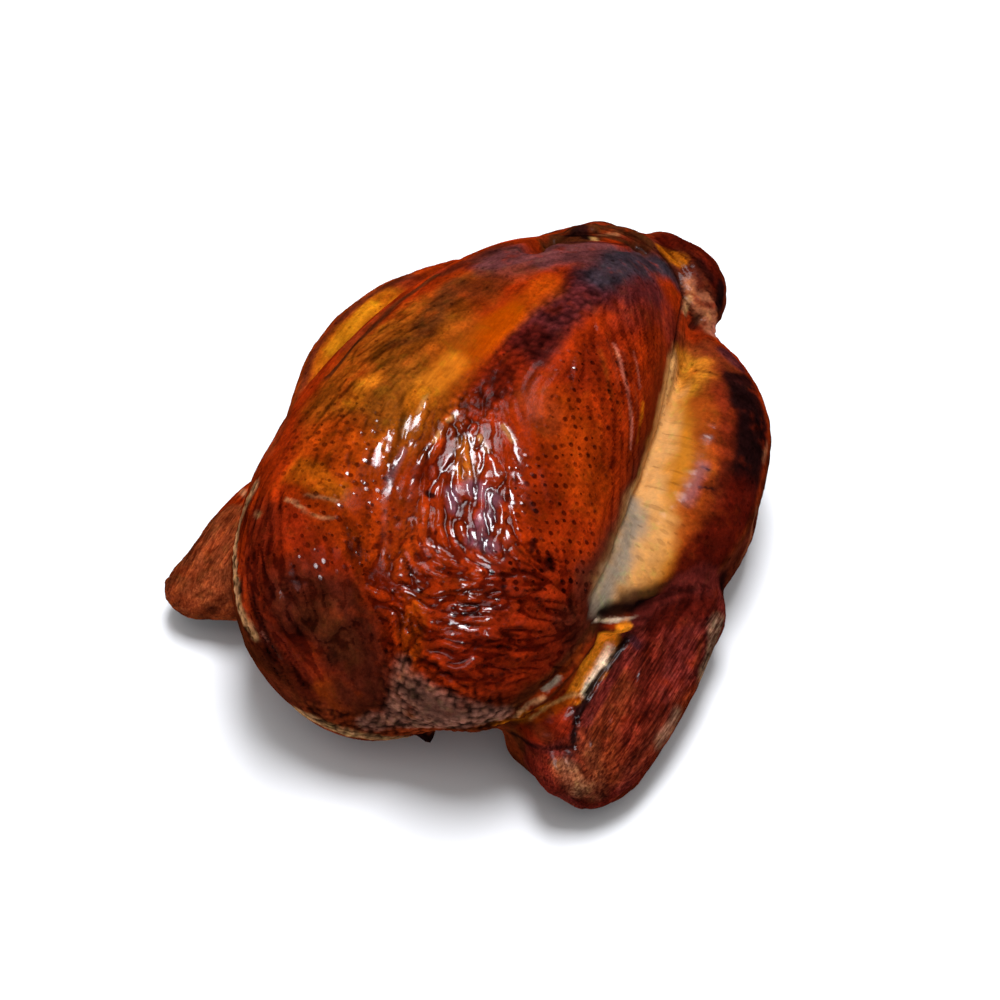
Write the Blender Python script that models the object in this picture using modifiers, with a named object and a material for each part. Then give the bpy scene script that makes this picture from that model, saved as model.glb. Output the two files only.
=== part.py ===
"""Whole smoked chicken, trussed and lying on its back.

One closed solid: plump breast with the hollow of its wishbone, thighs, drumsticks
pressed to the sides, hocks drawn in at the tail, folded wings, neck skin and tail.
Each muscle is a simple rounded mass. The skin is a voxel shell round all of them,
drawn onto the field in which neighbouring masses blend as flesh under skin does.

Metres. +Z up, +X the bird's right side, -Y the neck end, origin under the middle.
"""

import math

import bmesh
import bpy
import numpy as np
from mathutils import Euler, Matrix, Vector

NODE_NAME = "smoked_chicken"
SKIN_COLOUR = (0.19, 0.035, 0.012, 1.0)
SKIN_ROUGHNESS = 0.38

# Shell, in metres
SHELL_VOXEL = 0.0022
SEED_GROWTH = 0.0010            # seeds stand a little proud, so that they all meet
SEED_SPACING = 0.005            # along a limb
FLOOR_ROUNDING = 0.002          # edge of the flat that the bird lies on
FLAT_SNAP = 0.0006              # skin this near the table rests on it
GRADIENT_STEP = 0.0002
LARGEST_STEP = 0.003
DRAPE_ROUNDS = 14
SMOOTH_ROUNDS = 8               # of those, the first ones also even out the net
EVENING = 0.35
FINE_ROUNDS = 4
TRIANGLE_BUDGET = 11600


def blended(first, second, reach):
    """Distance to two masses whose skins run together within the reach."""
    share = np.clip(0.5 + 0.5 * (second - first) / reach, 0, 1)
    return second * (1 - share) + first * share - reach * share * (1 - share)


class Mass:
    """An egg-shaped muscle: centre, three radii, a turn in degrees, and its blend."""

    def __init__(self, centre, radii, turn=(0, 0, 0), blend=0.008, hollow=False):
        self.centre = np.array(centre)
        self.radii = np.array(radii)
        self.turn = Euler([math.radians(angle) for angle in turn]).to_matrix()
        self.blend = blend
        self.hollow = hollow

    def distance(self, points):
        local = (points - self.centre) @ np.array(self.turn)
        near = np.linalg.norm(local / self.radii, axis=1)
        slope = np.linalg.norm(local / self.radii**2, axis=1)
        return near * (near - 1) / np.maximum(slope, 1e-9)

    def seeds(self):
        size = Matrix.Diagonal(Vector(self.radii + SEED_GROWTH).to_4d())
        return [Matrix.Translation(self.centre) @ self.turn.to_4x4() @ size]


class Limb:
    """Flesh along a smooth curve through joints (x, y, z, radius), and its blend."""

    STEPS = 5                   # pieces of the curve from one joint to the next
    REACH = 0.026               # beyond this the limb no longer blends with anything

    def __init__(self, joints, blend=0.008):
        self.blend = blend
        self.hollow = False
        joints = np.array(joints)
        before, after = 2 * joints[0] - joints[1], 2 * joints[-1] - joints[-2]
        knots = np.vstack([before, joints, after])
        rows = [joints[:1]]
        step = np.arange(1, self.STEPS + 1)[:, None] / self.STEPS
        for a, b, c, d in zip(knots, knots[1:], knots[2:], knots[3:]):
            square = (2 * a - 5 * b + 4 * c - d) * step**2
            rows.append((2 * b + (c - a) * step + square + (3 * b - a - 3 * c + d) * step**3) / 2)
        self.joints = np.vstack(rows)

    def stretches(self):
        return zip(self.joints[:-1], self.joints[1:])

    def distance(self, points):
        centres, radii = self.joints[:, :3], self.joints[:, 3:]
        low = (centres - radii).min(axis=0) - self.REACH
        high = (centres + radii).max(axis=0) + self.REACH
        near = ((points > low) & (points < high)).all(axis=1)
        close = points[near]
        nearest = np.full(len(close), np.inf)
        for start, end in self.stretches():
            bone = end[:3] - start[:3]
            along = np.clip((close - start[:3]) @ bone / (bone @ bone), 0, 1)
            radius = start[3] + along * (end[3] - start[3])
            away = np.linalg.norm(close - start[:3] - along[:, None] * bone, axis=1)
            nearest = np.minimum(nearest, away - radius)
        result = np.full(len(points), self.REACH)
        result[near] = nearest
        return result

    def seeds(self):
        places = []
        for start, end in self.stretches():
            steps = math.ceil(np.linalg.norm(end[:3] - start[:3]) / SEED_SPACING)
            for along in np.arange(steps) / steps:
                x, y, z, radius = start + along * (end - start)
                places.append(Matrix.Translation((x, y, z)) @ Matrix.Scale(radius + SEED_GROWTH, 4))
        x, y, z, radius = self.joints[-1]
        places.append(Matrix.Translation((x, y, z)) @ Matrix.Scale(radius + SEED_GROWTH, 4))
        return places


def trunk():
    """Rib cage, belly and the tucked skin of the neck."""
    return [
        Mass((-0.0058, -0.0037, 0.0421), (0.0553, 0.1000, 0.0434), blend=0.010),
        Mass((-0.0012, 0.0465, 0.0468), (0.0380, 0.0572, 0.0332), turn=(8, 0, 0), blend=0.014),
        Mass((-0.0088, -0.0919, 0.0315), (0.0379, 0.0323, 0.0324), blend=0.010),
    ]


def breast():
    """Two plump lobes, each fuller at the neck and drawn out toward the tail."""
    return [
        Mass((0.0219, -0.0511, 0.0504), (0.0448, 0.0626, 0.0447), turn=(0, 0, 4), blend=0.010),
        Mass((0.0116, 0.0018, 0.0601), (0.0375, 0.0797, 0.0450), turn=(5, 0, 8), blend=0.010),
        Mass((-0.0252, -0.0525, 0.0564), (0.0422, 0.0699, 0.0466), turn=(0, 0, -3), blend=0.020),
        Mass((-0.0261, -0.0095, 0.0558), (0.0434, 0.0801, 0.0427), turn=(5, 0, -6), blend=0.020),
    ]


def right_leg():
    """Thigh along the table, and from hock to knee the drumstick laid over it."""
    thigh = [
        (0.0461, 0.0641, 0.0249, 0.0175),
        (0.0602, 0.0422, 0.0241, 0.0201),
        (0.0684, 0.0183, 0.0243, 0.0211),
        (0.0699, -0.0037, 0.0251, 0.0197),
    ]
    drumstick = [
        (0.0087, 0.0998, 0.0505, 0.0129),
        (0.0249, 0.0949, 0.0510, 0.0130),
        (0.0341, 0.0766, 0.0473, 0.0084),
        (0.0513, 0.0601, 0.0444, 0.0150),
        (0.0609, 0.0401, 0.0435, 0.0221),
        (0.0658, 0.0090, 0.0400, 0.0243),
        (0.0631, -0.0172, 0.0424, 0.0210),
        (0.0586, -0.0425, 0.0523, 0.0157),
    ]
    return [Limb(thigh), Limb(drumstick, blend=0.004)]


def left_leg():
    """The same, pressed a little closer to the body."""
    thigh = [
        (-0.0460, 0.0640, 0.0250, 0.0170),
        (-0.0590, 0.0420, 0.0250, 0.0195),
        (-0.0655, 0.0180, 0.0255, 0.0210),
        (-0.0665, -0.0060, 0.0260, 0.0195),
    ]
    drumstick = [
        (-0.0157, 0.0926, 0.0485, 0.0137),
        (-0.0297, 0.0822, 0.0454, 0.0124),
        (-0.0425, 0.0693, 0.0412, 0.0121),
        (-0.0572, 0.0509, 0.0378, 0.0166),
        (-0.0662, 0.0297, 0.0369, 0.0213),
        (-0.0686, 0.0082, 0.0385, 0.0223),
        (-0.0653, -0.0143, 0.0404, 0.0207),
        (-0.0609, -0.0391, 0.0419, 0.0154),
    ]
    return [Limb(thigh), Limb(drumstick, blend=0.004)]


def right_wing():
    """Shoulder to elbow, elbow to wrist, tip folded under, and the skin between."""
    upper = [
        (0.0539, -0.0832, 0.0301, 0.0124),
        (0.0678, -0.0537, 0.0302, 0.0137),
        (0.0757, -0.0217, 0.0304, 0.0164),
    ]
    lower = [
        (0.0819, -0.0207, 0.0233, 0.0153),
        (0.0845, -0.0547, 0.0192, 0.0121),
        (0.0856, -0.0834, 0.0136, 0.0106),
    ]
    tip = [(0.0806, -0.0909, 0.0131, 0.0104), (0.0578, -0.0877, 0.0169, 0.0107)]
    web = Mass((0.0762, -0.0637, 0.0238), (0.0223, 0.0424, 0.0163), turn=(0, 20, -6))
    return [Limb(row, blend=0.006) for row in (upper, lower, tip)] + [web]


def left_wing():
    """The same, its elbow tucked in behind the breast."""
    upper = [
        (-0.0560, -0.0820, 0.0320, 0.0150),
        (-0.0610, -0.0580, 0.0290, 0.0140),
        (-0.0640, -0.0340, 0.0260, 0.0135),
    ]
    lower = [
        (-0.0669, -0.0319, 0.0265, 0.0136),
        (-0.0759, -0.0639, 0.0214, 0.0111),
        (-0.0847, -0.0969, 0.0152, 0.0082),
    ]
    tip = [(-0.0778, -0.0968, 0.0139, 0.0077), (-0.0580, -0.0840, 0.0164, 0.0090)]
    web = Mass((-0.0696, -0.0727, 0.0213), (0.0171, 0.0290, 0.0122))
    return [Limb(row, blend=0.006) for row in (upper, lower, tip)] + [web]


def ends():
    """Hollow of the wishbone at the neck, and the short pointed tail."""
    wishbone = Mass(
        (-0.002, -0.126, 0.080), (0.015, 0.014, 0.026), turn=(-20, 0, 0), blend=0.016, hollow=True
    )
    return [wishbone, Limb([(0, 0.084, 0.028, 0.017), (0, 0.103, 0.023, 0.010)])]


def folds():
    """Joint of the right wing, and the folds of skin round it."""
    joint = Mass((0.0645, -0.0895, 0.0335), (0.0095, 0.0080, 0.0065), turn=(0, 0, 30), blend=0.003)
    below_knee = [
        (0.0665, -0.0565, 0.0575, 0.0018),
        (0.0690, -0.0538, 0.0550, 0.0022),
        (0.0734, -0.0458, 0.0496, 0.0024),
        (0.0760, -0.0406, 0.0488, 0.0018),
    ]
    torn_edge = [
        (0.0750, -0.0450, 0.0448, 0.0018),
        (0.0726, -0.0552, 0.0430, 0.0024),
        (0.0712, -0.0687, 0.0415, 0.0026),
        (0.0712, -0.0827, 0.0384, 0.0022),
    ]
    armpit = [
        (0.0650, -0.0641, 0.0568, 0.0022),
        (0.0634, -0.0751, 0.0548, 0.0028),
        (0.0598, -0.0862, 0.0515, 0.0028),
        (0.0546, -0.0947, 0.0452, 0.0022),
    ]
    return [joint] + [Limb(row, blend=0.003) for row in (below_knee, torn_edge, armpit)]


class Skin:
    """The closed skin over all the masses."""

    def __init__(self, masses):
        self.masses = masses

    def distance(self, points):
        """Blended distance to the flesh, cut off level at the table."""
        total = self.masses[0].distance(points)
        for mass in self.masses[1:]:
            away = mass.distance(points)
            if mass.hollow:
                total = -blended(-total, away, mass.blend)
            else:
                total = blended(total, away, mass.blend)
        return -blended(-total, points[:, 2], FLOOR_ROUNDING)

    def normals(self, points):
        slope = np.empty_like(points)
        for axis in range(3):
            step = np.zeros(3)
            step[axis] = GRADIENT_STEP
            slope[:, axis] = self.distance(points + step) - self.distance(points - step)
        return slope / np.maximum(np.linalg.norm(slope, axis=1, keepdims=True), 1e-12)

    def draw_on(self, points):
        """Move points along the slope onto the skin."""
        away = np.clip(self.distance(points), -LARGEST_STEP, LARGEST_STEP)
        return points - away[:, None] * self.normals(points)

    def shell(self):
        """Voxel shell round a ball or egg for every mass."""
        net = bmesh.new()
        for mass in self.masses:
            for place in [] if mass.hollow else mass.seeds():
                bmesh.ops.create_icosphere(net, subdivisions=3, radius=1, matrix=place)
        mesh = bpy.data.meshes.new(NODE_NAME)
        net.to_mesh(mesh)
        net.free()
        bird = bpy.data.objects.new(NODE_NAME, mesh)
        bpy.context.scene.collection.objects.link(bird)
        voxels = bird.modifiers.new("shell", "REMESH")
        voxels.mode = "VOXEL"
        voxels.voxel_size = SHELL_VOXEL
        apply_modifiers(bird)
        return bird

    def drape(self, bird):
        """Draw the shell onto the skin, evening out its net on the way."""
        points = points_of(bird)
        ends_of_edges = np.empty(len(bird.data.edges) * 2, dtype=np.int32)
        bird.data.edges.foreach_get("vertices", ends_of_edges)
        left, right = ends_of_edges.reshape(-1, 2).T
        links = np.bincount(ends_of_edges, minlength=len(points))[:, None]
        for turn in range(DRAPE_ROUNDS):
            points = self.draw_on(points)
            if turn < SMOOTH_ROUNDS:
                middle = np.zeros_like(points)
                np.add.at(middle, left, points[right])
                np.add.at(middle, right, points[left])
                shift = middle / links - points
                upright = self.normals(points)
                shift -= (shift * upright).sum(axis=1, keepdims=True) * upright
                points = points + EVENING * shift
        set_points(bird, points)

    def thin_out(self, bird):
        """Fewer triangles where the skin is nearly flat, then back onto the skin."""
        triangles = bird.modifiers.new("triangles", "TRIANGULATE")
        triangles.quad_method = "SHORTEST_DIAGONAL"
        apply_modifiers(bird)
        fewer = bird.modifiers.new("fewer", "DECIMATE")
        fewer.ratio = TRIANGLE_BUDGET / len(bird.data.polygons)
        apply_modifiers(bird)
        points = points_of(bird)
        for _ in range(FINE_ROUNDS):
            points = self.draw_on(points)
        points[:, 2] = np.where(points[:, 2] < FLAT_SNAP, 0, points[:, 2])
        middle = (points.min(axis=0) + points.max(axis=0)) / 2
        points[:, :2] -= middle[:2]
        set_points(bird, points)
        return middle


def points_of(thing):
    values = np.empty(len(thing.data.vertices) * 3)
    thing.data.vertices.foreach_get("co", values)
    return values.reshape(-1, 3)


def set_points(thing, points):
    thing.data.vertices.foreach_set("co", points.ravel())
    thing.data.update()


def apply_modifiers(thing):
    graph = bpy.context.evaluated_depsgraph_get()
    graph.update()
    made = bpy.data.meshes.new_from_object(thing.evaluated_get(graph))
    thing.modifiers.clear()
    thing.data = made


def smoked_skin():
    finish = bpy.data.materials.new("smoked_skin")
    finish.use_nodes = True
    shader = finish.node_tree.nodes["Principled BSDF"]
    shader.inputs["Base Color"].default_value = SKIN_COLOUR
    shader.inputs["Roughness"].default_value = SKIN_ROUGHNESS
    return finish


def main():
    for thing in list(bpy.data.objects):
        bpy.data.objects.remove(thing)
    flesh = trunk() + breast() + right_leg() + left_leg() + right_wing() + left_wing()
    flesh += ends() + folds()
    skin = Skin(flesh)
    bird = skin.shell()
    skin.drape(bird)
    skin.thin_out(bird)
    bird.data.name = NODE_NAME
    bird.data.materials.clear()
    bird.data.materials.append(smoked_skin())
    group = bpy.data.collections.new(NODE_NAME)
    bpy.context.scene.collection.children.link(group)
    bpy.context.scene.collection.objects.unlink(bird)
    group.objects.link(bird)


main()
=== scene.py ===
"""Smoked chicken, trussed and lying on its back: its wrinkled, smoke-stained skin.

The bird's muscles are the same rounded masses as in its CAD solid. A fine net is
drawn onto them, creased along the way the skin was pulled, and painted zone by zone
with the colours that smoke leaves. Shapes are in millimetres in the bird's own frame,
+Z up, +X its right side, -Y its neck, and Bird.place turns them into Blender's metres.
"""

import logging
import math
from collections.abc import Iterator, Sequence
from dataclasses import dataclass, field
from enum import Enum

import bmesh
import bpy
import numpy as np
from mathutils import Euler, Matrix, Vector


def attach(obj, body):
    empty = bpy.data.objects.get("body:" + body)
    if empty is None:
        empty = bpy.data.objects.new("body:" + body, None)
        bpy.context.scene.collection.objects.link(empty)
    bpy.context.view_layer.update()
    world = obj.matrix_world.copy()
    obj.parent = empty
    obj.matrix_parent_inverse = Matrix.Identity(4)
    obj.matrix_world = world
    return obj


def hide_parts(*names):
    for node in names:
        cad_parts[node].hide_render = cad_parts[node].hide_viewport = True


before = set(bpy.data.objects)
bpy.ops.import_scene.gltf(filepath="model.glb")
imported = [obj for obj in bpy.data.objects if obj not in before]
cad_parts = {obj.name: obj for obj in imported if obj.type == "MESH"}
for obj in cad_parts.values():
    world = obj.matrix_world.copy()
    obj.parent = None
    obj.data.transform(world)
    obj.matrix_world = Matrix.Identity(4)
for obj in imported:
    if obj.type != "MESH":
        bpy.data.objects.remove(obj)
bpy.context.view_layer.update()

Point = tuple[float, float, float]
Points = np.ndarray         # one row of x, y, z for each place, in mm
Values = np.ndarray         # one number for each place

MM_PER_METRE = 1000.0

LOG = logging.getLogger("smoked_chicken")


def lengths(rows: Points) -> Values:
    """Length of each row, as a column."""
    return np.sqrt((rows * rows).sum(axis=1, keepdims=True))


def unit(rows: Points) -> Points:
    """Each row at length one."""
    return rows / np.maximum(lengths(rows), 1e-9)


def eased(values: Values) -> Values:
    """Values from 0 to 1, with a soft start and end."""
    held = np.clip(values, 0, 1)
    return held * held * (3 - 2 * held)


def ridged(waves: Values, lean: float, limit: float) -> Values:
    """Fold waves up on both sides, so that the ridges lean and the valleys are sharp."""
    return lean * waves + np.minimum(np.abs(waves), limit) - limit / 2


# Flesh --------------------------------------------------------------------------


@dataclass(frozen=True)
class Mass:
    """An egg-shaped muscle: centre and radii in mm, turn in degrees, and its blend."""

    centre: Point
    radii: Point
    turn: Point = (0, 0, 0)
    blend: float = 8
    hollow: bool = False

    def distance(self, points: Points) -> Values:
        """Measure the way to the muscle.

        Args:
            points: Places in mm.

        Returns:
            Distance in mm for each place, negative inside.
        """
        turn = np.array(Euler([math.radians(angle) for angle in self.turn]).to_matrix())
        radii = np.array(self.radii)
        local = (points - np.array(self.centre)) @ turn
        near = np.linalg.norm(local / radii, axis=1)
        slope = np.linalg.norm(local / radii**2, axis=1)
        return near * (near - 1) / np.maximum(slope, 1e-9)


@dataclass(frozen=True)
class Limb:
    """Flesh along a smooth curve through joints (x, y, z, radius), and its blend."""

    joints: tuple[tuple[float, float, float, float], ...]
    blend: float = 8
    steps: int = 5
    reach: float = 26
    hollow: bool = False

    def curve(self) -> np.ndarray:
        """Smooth the joints.

        Returns:
            Rows of x, y, z and radius along the limb.
        """
        joints = np.array(self.joints, dtype=float)
        before, after = 2 * joints[0] - joints[1], 2 * joints[-1] - joints[-2]
        knots = np.vstack([before, joints, after])
        rows = [joints[:1]]
        step = np.arange(1, self.steps + 1)[:, None] / self.steps
        for a, b, c, d in zip(knots, knots[1:], knots[2:], knots[3:]):
            square = (2 * a - 5 * b + 4 * c - d) * step**2
            cube = (3 * b - a - 3 * c + d) * step**3
            rows.append((2 * b + (c - a) * step + square + cube) / 2)
        return np.vstack(rows)

    def distance(self, points: Points) -> Values:
        """Measure the way to the limb.

        Args:
            points: Places in mm.

        Returns:
            Distance in mm for each place, negative inside, and never above the reach.
        """
        curve = self.curve()
        low = (curve[:, :3] - curve[:, 3:]).min(axis=0) - self.reach
        high = (curve[:, :3] + curve[:, 3:]).max(axis=0) + self.reach
        near = ((points > low) & (points < high)).all(axis=1)
        close = points[near]
        nearest = np.full(len(close), np.inf)
        for start, end in zip(curve, curve[1:]):
            bone = end[:3] - start[:3]
            from_start = close - start[:3]
            along = np.clip(from_start @ bone / (bone @ bone), 0, 1)
            away = from_start - along[:, None] * bone
            radius = start[3] + along * (end[3] - start[3])
            nearest = np.minimum(nearest, np.sqrt((away * away).sum(axis=1)) - radius)
        result = np.full(len(points), float(self.reach))
        result[near] = nearest
        return result


TRUNK = (
    Mass((-5.8, -3.7, 42.1), (55.3, 100.0, 43.4), blend=10),
    Mass((-1.2, 46.5, 46.8), (38.0, 57.2, 33.2), turn=(8, 0, 0), blend=14),
    Mass((-8.8, -91.9, 31.5), (37.9, 32.3, 32.4), blend=10),
)
BREAST = (
    Mass((21.9, -51.1, 50.4), (44.8, 62.6, 44.7), turn=(0, 0, 4), blend=10),
    Mass((11.6, 1.8, 60.1), (37.5, 79.7, 45.0), turn=(5, 0, 8), blend=10),
    Mass((-25.2, -52.5, 56.4), (42.2, 69.9, 46.6), turn=(0, 0, -3), blend=20),
    Mass((-26.1, -9.5, 55.8), (43.4, 80.1, 42.7), turn=(5, 0, -6), blend=20),
)
RIGHT_LEG = (
    Limb(
        (
            (46.1, 64.1, 24.9, 17.5),
            (60.2, 42.2, 24.1, 20.1),
            (68.4, 18.3, 24.3, 21.1),
            (69.9, -3.7, 25.1, 19.7),
        )
    ),
    Limb(
        (
            (8.7, 99.8, 50.5, 12.9),
            (24.9, 94.9, 51.0, 13.0),
            (34.1, 76.6, 47.3, 8.4),
            (51.3, 60.1, 44.4, 15.0),
            (60.9, 40.1, 43.5, 22.1),
            (65.8, 9.0, 40.0, 24.3),
            (63.1, -17.2, 42.4, 21.0),
            (58.6, -42.5, 52.3, 15.7),
        ),
        blend=4,
    ),
)
LEFT_LEG = (
    Limb(
        (
            (-46.0, 64.0, 25.0, 17.0),
            (-59.0, 42.0, 25.0, 19.5),
            (-65.5, 18.0, 25.5, 21.0),
            (-66.5, -6.0, 26.0, 19.5),
        )
    ),
    Limb(
        (
            (-15.7, 92.6, 48.5, 13.7),
            (-29.7, 82.2, 45.4, 12.4),
            (-42.5, 69.3, 41.2, 12.1),
            (-57.2, 50.9, 37.8, 16.6),
            (-66.2, 29.7, 36.9, 21.3),
            (-68.6, 8.2, 38.5, 22.3),
            (-65.3, -14.3, 40.4, 20.7),
            (-60.9, -39.1, 41.9, 15.4),
        ),
        blend=4,
    ),
)
RIGHT_WING = (
    Limb(((53.9, -83.2, 30.1, 12.4), (67.8, -53.7, 30.2, 13.7), (75.7, -21.7, 30.4, 16.4)), 6),
    Limb(((81.9, -20.7, 23.3, 15.3), (84.5, -54.7, 19.2, 12.1), (85.6, -83.4, 13.6, 10.6)), 6),
    Limb(((80.6, -90.9, 13.1, 10.4), (57.8, -87.7, 16.9, 10.7)), 6),
    Mass((76.2, -63.7, 23.8), (22.3, 42.4, 16.3), turn=(0, 20, -6)),
)
LEFT_WING = (
    Limb(((-56.0, -82.0, 32.0, 15.0), (-61.0, -58.0, 29.0, 14.0), (-64.0, -34.0, 26.0, 13.5)), 6),
    Limb(((-66.9, -31.9, 26.5, 13.6), (-75.9, -63.9, 21.4, 11.1), (-84.7, -96.9, 15.2, 8.2)), 6),
    Limb(((-77.8, -96.8, 13.9, 7.7), (-58.0, -84.0, 16.4, 9.0)), 6),
    Mass((-69.6, -72.7, 21.3), (17.1, 29.0, 12.2)),
)
ENDS = (
    Mass((-2.0, -126.0, 80.0), (15.0, 14.0, 26.0), turn=(-20, 0, 0), blend=16, hollow=True),
    Limb(((0, 84, 28, 17), (0, 103, 23, 10))),
)
FOLDS = (
    Mass((64.5, -89.5, 33.5), (9.5, 8.0, 6.5), turn=(0, 0, 30), blend=3),
    Limb(
        ((66.5, -56.5, 57.5, 1.8), (69, -53.8, 55, 2.2),
         (73.4, -45.8, 49.6, 2.4), (76, -40.6, 48.8, 1.8)),
        blend=3,
    ),
    Limb(
        ((75, -45, 44.8, 1.8), (72.6, -55.2, 43, 2.4),
         (71.2, -68.7, 41.5, 2.6), (71.2, -82.7, 38.4, 2.2)),
        blend=3,
    ),
    Limb(
        ((65, -64.1, 56.8, 2.2), (63.4, -75.1, 54.8, 2.8),
         (59.8, -86.2, 51.5, 2.8), (54.6, -94.7, 45.2, 2.2)),
        blend=3,
    ),
)


@dataclass(frozen=True)
class Flesh:
    """All the muscles together, flowing into each other under the skin."""

    masses: tuple[Mass | Limb, ...]
    floor_rounding: float = 2.0
    probe: float = 0.2
    longest_move: float = 3.0

    @staticmethod
    def blended(first: Values, second: Values, reach: float) -> Values:
        """Distance to two masses whose skins run together within the reach."""
        share = np.clip(0.5 + 0.5 * (second - first) / reach, 0, 1)
        return second * (1 - share) + first * share - reach * share * (1 - share)

    def distance(self, points: Points) -> Values:
        """Measure the way to the skin.

        Args:
            points: Places in mm.

        Returns:
            Distance in mm for each place, negative inside the bird.
        """
        total = self.masses[0].distance(points)
        for mass in self.masses[1:]:
            away = mass.distance(points)
            if mass.hollow:
                total = -self.blended(-total, away, mass.blend)
            else:
                total = self.blended(total, away, mass.blend)
        return -self.blended(-total, points[:, 2], self.floor_rounding)

    def uprights(self, points: Points) -> Points:
        """Find which way the skin faces.

        Args:
            points: Places in mm.

        Returns:
            A direction of length one for each place.
        """
        slope = np.zeros_like(points)
        for corner in ((1, -1, -1), (-1, -1, 1), (-1, 1, -1), (1, 1, 1)):
            step = np.array(corner, dtype=float)
            slope += self.distance(points + step * self.probe)[:, None] * step
        return unit(slope)

    def draw_on(self, points: Points) -> Points:
        """Move places onto the skin, each by its own distance at most the longest move."""
        away = np.clip(self.distance(points), -self.longest_move, self.longest_move)
        return points - away[:, None] * self.uprights(points)


# Chance and direction ------------------------------------------------------------


@dataclass(frozen=True)
class Noise:
    """Smooth random bumps in space, the same on every run."""

    seed: int

    def corner(self, cells: np.ndarray) -> Values:
        """Draw the number that belongs to a lattice corner.

        Args:
            cells: Rows of three whole numbers.

        Returns:
            A number from -1 to 1 for each row.
        """
        mixed = cells[:, 0] * 374761393 + cells[:, 1] * 668265263 + cells[:, 2] * 2147483629
        mixed = (mixed + self.seed * 974634777) & 0xFFFFFFFF
        mixed = ((mixed ^ (mixed >> 13)) * 1274126177) & 0xFFFFFFFF
        mixed = ((mixed ^ (mixed >> 15)) * 2246822519) & 0xFFFFFFFF
        return ((mixed >> 8) & 0xFFFF) / 32767.5 - 1

    def at(self, points: Points, size: float) -> Values:
        """Read the bumps.

        Args:
            points: Places in mm.
            size: Size of one bump in mm.

        Returns:
            A value from -1 to 1 for each place.
        """
        scaled = points / size + 400
        cell = np.floor(scaled).astype(np.int64)
        part = eased(scaled - cell)
        total = np.zeros(len(points))
        for dx in (0, 1):
            for dy in (0, 1):
                for dz in (0, 1):
                    share = np.abs(1 - dx - part[:, 0]) * np.abs(1 - dy - part[:, 1])
                    share *= np.abs(1 - dz - part[:, 2])
                    total += share * self.corner(cell + (dx, dy, dz))
        return total

    def push(self, points: Points, size: float) -> Points:
        """Read the bumps as a direction that wanders from place to place."""
        return np.stack([Noise(self.seed + axis).at(points, size) for axis in (71, 72, 73)], axis=1)

    def pimples(self, points: Points, size: float) -> Values:
        """Lay round pimples side by side.

        Args:
            points: Places in mm.
            size: Width of a pimple in mm.

        Returns:
            1 at the top of a pimple, down to 0 in the gaps.
        """
        scaled = points / size + 400
        cell = np.floor(scaled).astype(np.int64)
        nearest = np.full(len(points), 9.0)
        for dx in (-1, 0, 1):
            for dy in (-1, 0, 1):
                for dz in (-1, 0, 1):
                    home = cell + (dx, dy, dz)
                    middle = home + 0.5
                    for axis in range(3):
                        jitter = Noise(self.seed + 11 * axis).corner(home)
                        middle[:, axis] += 0.36 * jitter
                    nearest = np.minimum(nearest, ((scaled - middle) ** 2).sum(axis=1))
        return 1 - eased(np.sqrt(nearest) / 0.95)


@dataclass(frozen=True)
class Lay:
    """A way in which the skin was pulled: from one place toward another, in mm."""

    name: str
    start: Point
    end: Point


@dataclass(frozen=True)
class Patch:
    """A zone along a path on the skin, in mm, and what it brings there.

    The zone is whole within the core of the path and fades over the soft width.
    """

    name: str
    value: object
    path: tuple[Point, ...]
    core: float
    soft: float
    strength: float = 1.0

    def weight(self, points: Points, wander: Points) -> Values:
        """Measure how strongly the zone reaches each place.

        Args:
            points: Places in mm.
            wander: A direction for each place, which makes the zone's edge ragged.

        Returns:
            A value from 0 to the strength for each place.
        """
        moved = points + wander * min(self.soft * 0.3, 2.6)
        spine = np.array(self.path, dtype=float)
        result = np.zeros(len(points))
        reach = self.core + self.soft
        near = ((moved > spine.min(axis=0) - reach) & (moved < spine.max(axis=0) + reach)).all(axis=1)
        close = moved[near]
        nearest = ((close - spine[0]) ** 2).sum(axis=1)
        for start, end in zip(spine, spine[1:]):
            bone = end - start
            along = np.clip((close - start) @ bone / (bone @ bone), 0, 1)
            gap = close - start - along[:, None] * bone
            nearest = np.minimum(nearest, (gap * gap).sum(axis=1))
        result[near] = self.strength * eased(1 - (np.sqrt(nearest) - self.core) / self.soft)
        return result


def strokes(
    name: str, value: object, core: float, soft: float, *paths: tuple[Point, ...]
) -> Iterator[Patch]:
    """Make a thin patch along each path.

    Args:
        name: What the strokes are.
        value: What each brings.
        core: Half its width in mm.
        soft: Its soft border in mm.
        paths: The paths in mm.

    Yields:
        The patches.
    """
    for number, path in enumerate(paths, 1):
        yield Patch(f"{name} {number}", value, path, core, soft)


@dataclass(frozen=True)
class Layers:
    """A number all over the skin: one to begin with, then the patches laid over it."""

    start: float
    patches: tuple[Patch, ...]

    def at(self, points: Points, wander: Points) -> Values:
        """Add up the layers.

        Args:
            points: Places in mm.
            wander: A direction for each place, for ragged edges.

        Returns:
            The number at each place.
        """
        total = np.full(len(points), float(self.start))
        for patch in self.patches:
            total += (patch.value - total) * patch.weight(points, wander)
        return total


@dataclass(frozen=True)
class Crease:
    """A kind of wrinkle: the seed of its noise, and its width and reach each way in mm."""

    seed: int
    width: float
    reach: float


LONG_FOLDS = Crease(21, 1.9, 11.0)
SHORT_FOLDS = Crease(34, 2.6, 3.6)
CRINKLES = Crease(61, 1.1, 1.2)
SMEARS = Crease(77, 3.4, 14.0)
DASHES = Crease(91, 1.6, 5.0)


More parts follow.
